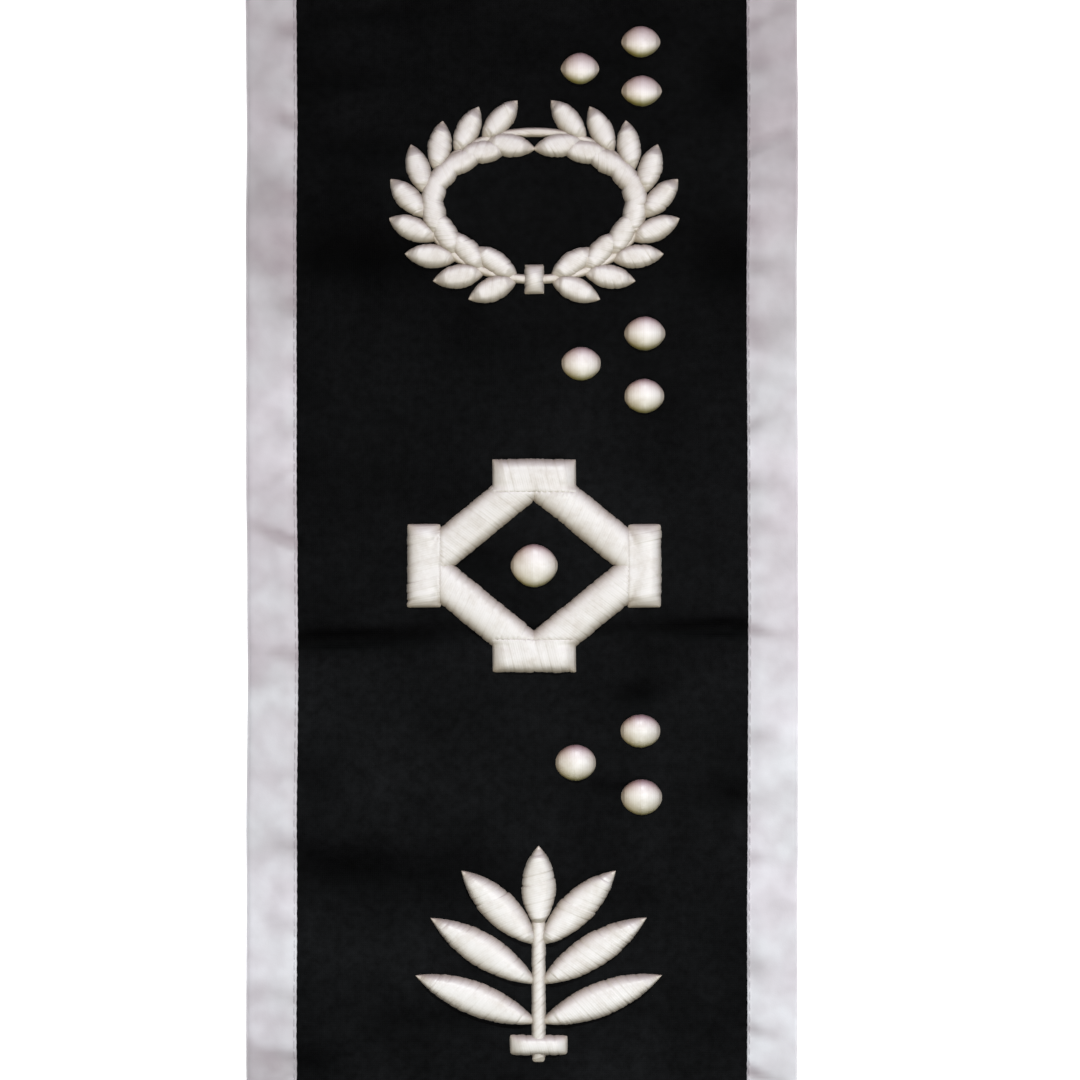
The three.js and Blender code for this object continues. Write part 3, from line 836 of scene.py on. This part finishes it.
def border_piece(name, edge, step, rows, material):
    """The folded ribbon of one edge, -1 for the outer border and 1 for the inner one. Its point attribute of
    painted shade is 1 in deep puckers and some of that in the shaded stretches of rows."""
    section = ribbon_section()
    depth, level = section[:, 0], section[:, 1]
    side, along = loop_rows(edge * (BAND_HALF - depth), step)
    from_stitching = np.broadcast_to(BORDER_WIDTH - depth, along.shape)
    lap = lap_of(side, along)
    scallop = SCALLOP * np.cos(2 * math.pi * lap / STITCH_PITCH) * bump(from_stitching, DIMPLE_WIDTH)
    across = edge * (BAND_HALF - depth + scallop) + edge_wander(lap)
    x, y = place_on_band(side, along, across)
    relief, puckers = ribbon_relief(edge, side, along, from_stitching)
    upper = np.clip((level - BAND_THICK / 2) / (BAND_THICK / 4), 0, 1)
    lift = drape(side, along, across)
    z = level + np.where(level > BAND_THICK / 2, lift, np.maximum(lift, 0)) + upper * relief
    piece = tube_piece(name, [np.stack([x, y, z], axis=-1)], material, closed_along=True)
    # Painted shade in deep puckers and in the shaded stretches
    point_value(piece, "dull", np.clip(painted_ribbon_shade(puckers * upper, lap, x, y, rows), 0, 1))
    return piece


def topstitching(name, edge, rows, material):
    """A row of thread stitches close to the ribbon's edge, with the ribbon's painted shade and a little
    darker and warmer than the ribbon. Each is a tube with pointed ends that rises to its middle and sinks
    into the ribbon at both ends."""
    across = edge * (BORDER_EDGE + STITCH_FROM_EDGE)
    start = across / math.tan(FRONT_ANGLE) + 1.0 * MM
    count = int((nape_end - start) / STITCH_PITCH) * 2 - 1
    middle = start + STITCH_PITCH * (np.arange(count) + 0.5)
    along_share = np.array([-0.5, -0.38, -0.16, 0.16, 0.38, 0.5])[None, :, None]
    girth = STITCH_RADIUS * np.array([0.15, 0.8, 1.0, 1.0, 0.8, 0.15])[None, :, None]
    turn = np.linspace(0, 2 * math.pi, 7)[:-1]
    lap = middle[:, None, None] + STITCH_LENGTH * along_share
    side, along = half_of(lap)
    in_row = np.full(along.shape[:2], STITCH_FROM_EDGE)
    relief, puckers = ribbon_relief(edge, side[..., 0], along[..., 0], in_row)
    surface = BAND_THICK + drape(side, along, across) + relief[..., None]
    arch = STITCH_RISE * (1 - (2 * along_share) ** 2) - STITCH_SINK
    x, y = place_on_band(side, along, across + edge_wander(lap) + girth * np.cos(turn))
    z = surface + arch + girth * np.sin(turn)
    piece = tube_piece(name, [np.stack(np.broadcast_arrays(x, y, z), axis=-1)], material)
    dull = painted_ribbon_shade(puckers[..., None], lap, x, y, rows) + STITCH_DULL
    point_value(piece, "dull", np.clip(dull, 0, 1))
    return piece


def mixed(material, share, first, second, blend_type="MULTIPLY"):
    """The first colour, multiplied by the second or mixed with it as far as share says."""
    colour = node(material, "Mix", 2, share, data_type="RGBA", blend_type=blend_type)
    feed(colour.node.inputs[6], first)
    feed(colour.node.inputs[7], second)
    return colour


def satin_ribbon():
    """Silver-grey satin, mottled in patches 3 to 10 mm wide between a pinker and a greener grey, with
    painted shade that makes it darker and warmer, a fine weave in the bump and a soft sheen."""
    material = new_material("satin_ribbon")
    place = node(material, "TexCoord", "Object")
    mottle = noise(material, place, scale=210, detail=2, roughness=0.45)
    patches = noise(material, place, scale=105, detail=2, roughness=0.5)
    cast = mixed(material, spread(material, patches, 0.35, 0.65), PINKER, GREENER, "MIX")
    colour = mixed(material, 1.0, ramp(material, mottle, 0.32, 0.68, RIBBON_DARK, RIBBON_LIGHT), cast)
    # Painted shade, darker and warmer, in puckers and shaded stretches
    dull = node(material, "Attribute", "Fac", attribute_name="dull")
    colour = mixed(material, dull, colour, PAINTED_SHADE_COLOUR)
    weave = noise(material, place, scale=3200, detail=2, roughness=0.5)
    relief = node(material, "Bump", "Normal", Strength=0.25, Distance=0.06 * MM, Height=weave)
    shade(material, Base_Color=colour, Normal=relief, Roughness=0.5, Specular_IOR_Level=0.4,
          Sheen_Weight=0.15, Sheen_Roughness=0.35)
    return material


ribbon = satin_ribbon()
outer_painted_shade = whole_loop(OUTER_PAINTED_SHADE, seed=13, ends=OUTER_ENDS, chances=CHANCE_PAINTED_SHADE, above=12)
inner_painted_shade = whole_loop(INNER_PAINTED_SHADE, seed=15, ends=INNER_ENDS, chances=CHANCE_PAINTED_SHADE, above=12)
borders = table(
    "name node edge step dull length",
    ("outer_ribbon", "outer_border", -1, 1.0 * MM, outer_painted_shade, 1.74),
    ("inner_ribbon", "inner_border", 1, 0.8 * MM, inner_painted_shade, 0.98),
)
for border in borders:
    piece = border_piece(border.name, border.edge, border.step, border.dull, ribbon)
    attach(piece, "root")
    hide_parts(border.node)
    stitches = topstitching(border.name + "_topstitch", border.edge, border.dull, ribbon)
    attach(stitches, "root")

# The embroidery.
# Ivory thread in satin stitch over padding, on the limb at x < 0: a wreath, a lozenge with a knot and a
# sprig, and three triangles of dots. Each stroke is threads laid side by side across it, and rises to a
# soft pillow. The badge's own frame has x across the band towards its inner edge and y along the band.
BADGE_ALONG = 229.5 * MM
PAD_ROOT = 2.2 * MM
PAD_FOOT = 2.95 * MM
PAD_TOP = 5.15 * MM
PAD_COLUMNS = 17
ROOT_SHARE = 0.96
STEEP_END = 0.5 * MM
SOFT_END = 2.6 * MM
FULL_WIDTH = 1.7 * MM
UNEVEN_WIDTH = 1.2 * MM
THREAD_PITCH = 0.42 * MM
THREAD_RIDGE = 0.016 * MM
THREAD_WIDER = 0.02 * MM
THREAD_HIGHER = 0.006 * MM
BUNDLE = 4
BUNDLE_WIDER = 0.04 * MM
BUNDLE_HIGHER = 0.01 * MM
NOTCH_WIDTH = 0.12 * MM
NOTCH_DEPTH = 0.016 * MM
MEAN_TINT = 0.45
THREAD_TINT = 0.15
BUNDLE_TINT = 0.25
# Painted shade in the notches between bundles
NOTCH_SHADE = 0.35
# Painted shade on the thread's slopes, by the way each faces: the shares taken off red, green and blue
UP_SLOPE_SHADE = (0.40, 0.66, 0.54)
DOWN_SLOPE_SHADE = (0.64, 0.62, 0.92)
LEFT_SLOPE_SHADE = (0.02, 0.12, 0.30)
RIGHT_SLOPE_SHADE = (0.08, 0.08, 0.08)
# The first colour is painted shade, darker and warmer, low on a pad's sides
IVORY_SHADED_SIDE = (0.56, 0.50, 0.43, 1)
IVORY_FACE = (0.770, 0.749, 0.734, 1)
IVORY_TINT = (0.905, 0.892, 0.872, 1)
IVORY_SOIL = (0.84, 0.81, 0.77, 1)


def ivory_thread():
    """Lustrous ivory thread: painted shade makes it warmer and darker low on the sides of a pad; it is a
    little different from one thread to the next, and soiled in soft blotches and flecks. The point attribute
    rise is the share of the pad's height, another is each thread's own tone with painted shade in its
    valleys and notches, and cast is painted light and shade by the way each slope faces."""
    material = new_material("ivory_thread")
    rise = node(material, "Attribute", "Fac", attribute_name="rise")
    tone_and_shade = node(material, "Attribute", "Fac", attribute_name="tone_and_shade")
    cast = node(material, "Attribute", "Color", attribute_name="cast")
    place = node(material, "TexCoord", "Object")
    blotches = noise(material, place, scale=290, detail=4, roughness=0.68)
    # Painted shade: darker and warmer low on a pad's sides
    colour = ramp(material, rise, 0.1, 0.8, IVORY_SHADED_SIDE, IVORY_FACE)
    # Each thread's own tone, with painted shade in its valleys and the notches
    colour = mixed(material, tone_and_shade, colour, IVORY_TINT)
    colour = mixed(material, spread(material, blotches, 0.46, 0.74), colour, IVORY_SOIL)
    # Painted light and shade by the way each slope faces
    colour = mixed(material, 1.0, colour, cast)
    fibres = noise(material, place, scale=2600, detail=2, roughness=0.5)
    relief = node(material, "Bump", "Normal", Strength=0.2, Distance=0.05 * MM, Height=fibres)
    shade(material, Base_Color=colour, Normal=relief, Roughness=0.42, Specular_IOR_Level=0.5,
          Sheen_Weight=0.2, Sheen_Roughness=0.3)
    return material


def pillow(share):
    """Height across a stroke, 1 over most of it and rolling down to 0 at its edges."""
    return (1 - np.abs(share) ** 2.9) ** 0.62


def quarter_sine(gap, reach):
    """From 0 to 1 over reach, steep at first and level at its end."""
    return np.sin(np.clip(gap / reach, 0, 1) * math.pi / 2)


def square_end(end_gap):
    """Height near a stroke's end: two quarter sines, one steep and one soft."""
    return 0.12 + 0.24 * quarter_sine(end_gap, STEEP_END) + 0.64 * quarter_sine(end_gap, SOFT_END)


def thread_rows(length, uneven, rng):
    """Rows along a stroke, four to each thread: a valley, a flank, a crown and a flank. For each row it
    gives the share of the length, how much it goes past the pad in width and in height, and its tone with
    painted shade. Bundles of threads, and less so single threads, differ in width, height and tone, and a
    notch lies between one bundle and the next. Painted shade darkens each thread's valleys and flanks more
    than its crown, and darkens the notches."""
    threads = max(4, round(length / THREAD_PITCH))
    number = np.repeat(np.arange(threads), 4)
    within = np.tile([0, 0.25, 0.5, 0.75], threads)
    share = np.clip((number + within + 0.12) / threads, 0.004, 0.996)
    crown = np.sin(math.pi * within) ** 0.7
    bundles = threads // BUNDLE + 2
    bundle = uneven * np.repeat(rng.normal(0, 1, bundles), BUNDLE)[number]
    own = uneven * rng.normal(0, 1, threads)[number]
    depth = uneven * np.repeat(rng.uniform(0.1, 1, bundles + 1), BUNDLE)[number + BUNDLE // 2]
    between = np.abs(np.cos(math.pi * (number + within) / BUNDLE)) ** 10
    wide = BUNDLE_WIDER * bundle + THREAD_WIDER * own - NOTCH_WIDTH * depth * between
    tall = BUNDLE_HIGHER * bundle + THREAD_HIGHER * own - NOTCH_DEPTH * depth * between
    # Painted shade: the tone is halved on each thread's crown, so its valleys and flanks are darker
    tone_and_shade = np.clip(MEAN_TINT + BUNDLE_TINT * bundle + THREAD_TINT * own, 0, 1) * (1 - crown / 2)
    # Painted shade in the notches
    tone_and_shade = np.clip(tone_and_shade + NOTCH_SHADE * depth * between, 0, 1)
    return share, wide, THREAD_RIDGE * crown + tall, tone_and_shade


def satin_stroke(path, length, half_width, rng, height=1.0, slant=0.25, profile=pillow, end=square_end,
                 over=None, uneven=1.0):
    """One stroke of satin stitch, as rings of points, the share of the height that each point rises to, and
    its tone with painted shade. path gives the centre line's place and heading for distances along it, and
    half_width its half width for shares of its length. Its threads lean by slant, and uneven scales their
    differences. profile and end give its height across and near its ends, and its sides go on down into the
    cloth. over gives the share of the height that other strokes below this one raise it to."""
    share, wide, tall, tone_and_shade = thread_rows(length, uneven, rng)
    across = np.sin(np.linspace(-math.pi / 2, math.pi / 2, PAD_COLUMNS))
    lean = slant * (1 - np.abs(2 * share - 1) ** 5) * half_width(share)
    run = np.clip(share[:, None] * length + lean[:, None] * across, 0, length)
    x, y, heading = path(run)
    half = half_width(run / length)
    half = half + wide[:, None] * np.clip(half / UNEVEN_WIDTH - 0.6, 0, 1)
    x = x + half * across * np.cos(heading)
    y = y - half * across * np.sin(heading)
    shoulder = end(np.minimum(run, length - run))
    swell = profile(across)[None, :] * shoulder * np.clip(half / FULL_WIDTH, 0.35, 1) ** 0.8
    if over:
        swell = np.maximum(swell, over(x, y))
    z = PAD_FOOT + (PAD_TOP - PAD_FOOT) * height * swell + tall[:, None] * np.sqrt(swell)

    middle = PAD_COLUMNS // 2
    root_x, root_y = [
        places[:, [-1, middle, 0]] * ROOT_SHARE + places[:, [middle]] * (1 - ROOT_SHARE) for places in (x, y)
    ]
    root_z = np.full(root_x.shape, PAD_ROOT)
    points = [np.concatenate(pair, axis=1) for pair in ((x, root_x), (y, root_y), (z, root_z))]
    rise = np.concatenate([swell * height, np.zeros(root_x.shape)], axis=1)
    return np.stack(points, axis=-1), rise, np.broadcast_to(tone_and_shade[:, None], rise.shape)


def painted_slope_shade(normal, strength):
    """Colour multiplier of painted shade on the thread's slopes, for rows of normals. Each way that a slope
    faces takes its share of each colour, so slopes up the band get a pinker painted shade, and those down it
    and towards its outer edge a creamier one. All of it falls by half of 1 less the square of the normal's
    z, as painted shade on steep slopes."""
    flat = normal[:, :2]
    cast = np.ones((len(normal), 3))
    ways = (upwards, -upwards, -inwards, inwards)
    for way, share in zip(ways, (UP_SLOPE_SHADE, DOWN_SLOPE_SHADE, LEFT_SLOPE_SHADE, RIGHT_SLOPE_SHADE)):
        cast -= strength * np.clip(flat @ np.array(way), 0, 1)[:, None] * np.array(share)
    return cast * (1 - strength * 0.5 * (1 - normal[:, 2:] ** 2))


def stitched_figure(name, strokes, at, lustre, slope_shade_strength, material):
    """All strokes of one figure as one piece, moved from the badge's frame to the limb."""
    foot_x, foot_y = band_place(BADGE_ALONG, 0)
    tubes = []
    for rings, _, _ in strokes:
        right = rings[..., 0] + at[0]
        up = rings[..., 1] + at[1]
        x = foot_x + inwards.x * right + upwards.x * up
        y = foot_y + inwards.y * right + upwards.y * up
        z = rings[..., 2] + drape(-1, BADGE_ALONG + up, right)
        tubes.append(np.stack([x, y, z], axis=-1))
    piece = tube_piece(name, tubes, material)
    point_value(piece, "rise", np.concatenate([rise.ravel() for _, rise, _ in strokes]))
    point_value(piece, "tone_and_shade", np.concatenate([tone_and_shade.ravel() for _, _, tone_and_shade in strokes]))
    normal = np.empty(3 * len(piece.data.vertices))
    piece.data.vertices.foreach_get("normal", normal)
    cast = np.ones((len(piece.data.vertices), 4))
    # The point attribute cast: painted light and shade, the figure's painted brightness times the painted
    # shade on its slopes
    cast[:, :3] = lustre * painted_slope_shade(normal.reshape(-1, 3), slope_shade_strength)
    piece.data.attributes.new("cast", "FLOAT_COLOR", "POINT").data.foreach_set("color", cast.ravel())
    return piece


def even(width):
    """Half width of a stroke that is equally wide all along."""
    return lambda share: np.full(share.shape, width / 2)


def straight_path(x, y, heading):
    """A straight centre line from x, y. heading is its lean from +y towards +x."""
    return lambda run: (
        x + run * math.sin(heading),
        y + run * math.cos(heading),
        np.full(run.shape, heading),
    )


def bar(centre, heading, length, width, rng, **shape):
    """A straight stroke with square ends, about its centre."""
    x = centre[0] - length / 2 * math.sin(heading)
    y = centre[1] - length / 2 * math.cos(heading)
    return satin_stroke(straight_path(x, y, heading), length, even(width), rng, **shape)


def leaf(x, y, heading, length, width, rng, **shape):
    """A stroke between two equal arcs, from its stalk to its tip."""
    radius = (length**2 + width**2) / (4 * width)

    def half_width(share):
        up = (share - 0.5) * length
        return np.maximum(np.sqrt(radius**2 - up**2) - (radius - width / 2), 0.05 * MM)

    return satin_stroke(straight_path(x, y, heading), length, half_width, rng, **shape)


def domed_dot(width, height, crown, corner, rng):
    """A small dome sewn across the band, so that its threads run along the band. Its outline is an oval at a
    corner of 0.5 and nearer to a lozenge above that. crown moves its highest line down towards the point."""
    def half_height(share):
        return height / 2 * (1 - np.abs(2 * share - 1) ** 1.9) ** corner + 0.03 * MM

    def dome(across):
        return (1 - (across - crown * (1 - across**2)) ** 2) ** 0.42

    def rounded(end_gap):
        return quarter_sine(end_gap, 0.5 * width) ** 0.6

    path = straight_path(-width / 2, 0, math.pi / 2)
    return satin_stroke(path, width, half_height, rng, slant=0.0, profile=dome, end=rounded, uneven=0.4)


WREATH = SimpleNamespace(width=48 * MM, height=35.4 * MM, leaf=9.8 * MM, leaf_width=4.4 * MM, splay=0.5)
WREATH_LEAVES = SimpleNamespace(count=9, first=0.15, last=2.64)
WREATH_STEM = SimpleNamespace(width=1.7 * MM, tie_length=5.4 * MM, tie_width=3.6 * MM)
stem_across = WREATH.width / 2 - WREATH.leaf_width
stem_along = WREATH.height / 2 - WREATH.leaf_width


def wreath_stem_at(angle):
    """The oval stem: angle 0 at the tie and pi at the top. heading is its lean from +y towards +x."""
    heading = np.arctan2(stem_across * np.cos(angle), stem_along * np.sin(angle))
    return stem_across * np.sin(angle), -stem_along * np.cos(angle), heading


def wreath_strokes(rng):
    """A thin stem stroke round the oval, pairs of leaves up both sides of it, and the tie over its foot."""
    stem_length = 2 * math.pi * math.sqrt((stem_across**2 + stem_along**2) / 2)

    def stem_path(run):
        return wreath_stem_at(2 * math.pi * run / stem_length)

    strokes = [satin_stroke(stem_path, stem_length, even(WREATH_STEM.width), rng, height=0.8, slant=1.2)]
    for angle in np.linspace(WREATH_LEAVES.first, WREATH_LEAVES.last, WREATH_LEAVES.count):
        x, y, heading = wreath_stem_at(angle)
        for turn in (heading - WREATH.splay, heading + WREATH.splay):
            for mirror in (1, -1):
                strokes.append(leaf(mirror * x, y, mirror * turn, WREATH.leaf, WREATH.leaf_width, rng,
                                    height=0.9, slant=0.5 * mirror))
    foot = (0, wreath_stem_at(0)[1])
    strokes.append(bar(foot, 0, WREATH_STEM.tie_length, WREATH_STEM.tie_width, rng, height=1.05))
    return strokes


LOZENGE = SimpleNamespace(width=46 * MM, height=38.6 * MM, bar=7.1 * MM, slab=15.2 * MM, slab_width=6.2 * MM)
BAR_HEIGHT = 0.97
BAR_SINK = 0.7 * MM
JOIN = 0.28 * MM
JOIN_DROP = 0.15
COVER_WIDTH = 0.35 * MM


def lozenge_strokes(rng):
    """Four broad bars between the middles of the sides, and a slab across each corner. A slab's height is
    the greater of its own pillow and the bars' that run under it. It comes out of the bars just within its
    inner edge, and a bar sinks where a slab covers it."""
    right = (LOZENGE.width - LOZENGE.slab_width) / 2
    top = (LOZENGE.height - LOZENGE.slab_width) / 2
    half_slab = np.array([LOZENGE.slab_width, LOZENGE.slab]) / 2
    bar_length = math.hypot(right, top)

    def bars_below(x, y):
        aside = (np.abs(x) * top + np.abs(y) * right - right * top) / bar_length
        bars = pillow(np.clip(2 * aside / LOZENGE.bar, -1, 1))
        outer_gap = np.minimum(LOZENGE.width / 2 - np.abs(x), LOZENGE.height / 2 - np.abs(y))
        rolled = pillow(1 - np.clip(2 * outer_gap / LOZENGE.slab_width, 0, 1))
        inner_gap = LOZENGE.slab_width - outer_gap
        return BAR_HEIGHT * np.minimum(bars, rolled) - JOIN_DROP * np.clip(1 - inner_gap / JOIN, 0, 1)

    def covered(x, y, half):
        gap = np.minimum(half[0] - np.abs(x), half[1] - np.abs(y))
        return np.clip((gap - JOIN) / COVER_WIDTH, 0, 1)

    strokes = []
    for x in (-right, right):
        for y in (-top, top):
            heading = math.atan2(-x, y)
            rings, rise, tone_and_shade = bar((x / 2, y / 2), heading, bar_length, LOZENGE.bar, rng,
                                    height=BAR_HEIGHT, end=lambda end_gap: np.ones(end_gap.shape))
            slabs = np.maximum(covered(rings[..., 0] - x, rings[..., 1], half_slab),
                               covered(rings[..., 0], rings[..., 1] - y, half_slab[::-1]))
            rings[..., 2] = np.maximum(rings[..., 2] - BAR_SINK * slabs, PAD_ROOT)
            strokes.append((rings, rise, tone_and_shade))
    for x, y in ((-right, 0), (0, -top), (right, 0), (0, top)):
        heading = math.pi / 2 if y else 0
        strokes.append(bar((x, y), heading, LOZENGE.slab, LOZENGE.slab_width, rng, over=bars_below))
    return strokes


SPRIG = SimpleNamespace(foot=-19.7 * MM, tip=19.7 * MM, stem_top=7 * MM, stem=2.6 * MM, leaf_width=6.2 * MM)
SPRIG_TIE = SimpleNamespace(y=-16.4 * MM, length=10.6 * MM, width=3.8 * MM)
SPRIG_LEAVES = table(
    "y turn length",
    (-12.5 * MM, 1.2, 24 * MM),
    (-5.5 * MM, 1.02, 23 * MM),
    (1.5 * MM, 0.8, 19.5 * MM),
)


def sprig_strokes(rng):
    """Three pairs of leaves and one at the tip, the stem over their stalks, and the tie over its foot."""
    tip_foot = SPRIG.stem_top - SPRIG.stem
    strokes = [leaf(0, tip_foot, 0, SPRIG.tip - tip_foot, SPRIG.leaf_width, rng)]
    for row in SPRIG_LEAVES:
        for mirror in (1, -1):
            strokes.append(leaf(0, row.y, mirror * row.turn, row.length, SPRIG.leaf_width, rng,
                                slant=0.4 * mirror))
    stem_length = SPRIG.stem_top - SPRIG.foot
    stem_middle = (SPRIG.stem_top + SPRIG.foot) / 2
    strokes.append(bar((0, stem_middle), 0, stem_length, SPRIG.stem, rng, height=0.9, slant=0.8))
    strokes.append(bar((0, SPRIG_TIE.y), math.pi / 2, SPRIG_TIE.length, SPRIG_TIE.width, rng))
    return strokes


WREATH_AT = (2.2 * MM, 60.6 * MM)
LOZENGE_AT = (2.2 * MM, -4.5 * MM)
SPRIG_AT = (3 * MM, -74.7 * MM)
KNOT = {"width": 8.6 * MM, "height": 7.8 * MM, "crown": 0, "corner": 0.6}
# The dots of the three triangles, in millimetres in the badge's frame, each with a multiplier of painted
# light on its colour
DOTS = table(
    "node x y width height crown corner lustre",
    ("dot_1a", 21.5, 90.3, 7.3, 5.7, 0.25, 0.68, 1.22),
    ("dot_1b", 10.5, 85.4, 7.1, 5.7, 0.2, 0.68, 1.22),
    ("dot_1c", 21.6, 81.3, 7.5, 5.6, 0.25, 0.68, 1.22),
    ("dot_2a", 22.2, 37.5, 7.5, 6.1, 0, 0.6, 1.1),
    ("dot_2b", 10.7, 32, 7.5, 6.1, 0.05, 0.6, 1.1),
    ("dot_2c", 22.1, 26.2, 7.5, 6.2, -0.05, 0.6, 1.1),
    ("dot_3a", 21.4, -34.4, 7.4, 6, -0.2, 0.54, 1.08),
    ("dot_3b", 9.7, -40.1, 7.5, 6.5, -0.1, 0.54, 1.08),
    ("dot_3c", 21.6, -46.3, 7.5, 6.4, -0.2, 0.54, 1.08),
)
stitching = np.random.default_rng(41)
# Each figure's multiplier of painted light on its colour, and the strength of the painted shade on its
# slopes
figures = table(
    "node strokes at lustre cast",
    ("wreath", wreath_strokes(stitching), WREATH_AT, 1.0, 0.5),
    ("lozenge", lozenge_strokes(stitching), LOZENGE_AT, 0.93, 0.5),
    ("centre_knot", [domed_dot(**KNOT, rng=stitching)], LOZENGE_AT, 1.05, 1.0),
    ("sprig", sprig_strokes(stitching), SPRIG_AT, 1.0, 0.5),
)
for dot in DOTS:
    stroke = domed_dot(dot.width * MM, dot.height * MM, dot.crown, dot.corner, stitching)
    at = (dot.x * MM, dot.y * MM)
    figures.append(SimpleNamespace(node=dot.node, strokes=[stroke], at=at, lustre=dot.lustre, cast=1.0))
thread = ivory_thread()
for figure in figures:
    piece = stitched_figure("satin_" + figure.node, figure.strokes, figure.at, figure.lustre,
                            figure.cast, thread)
    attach(piece, "root")
    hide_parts(figure.node)
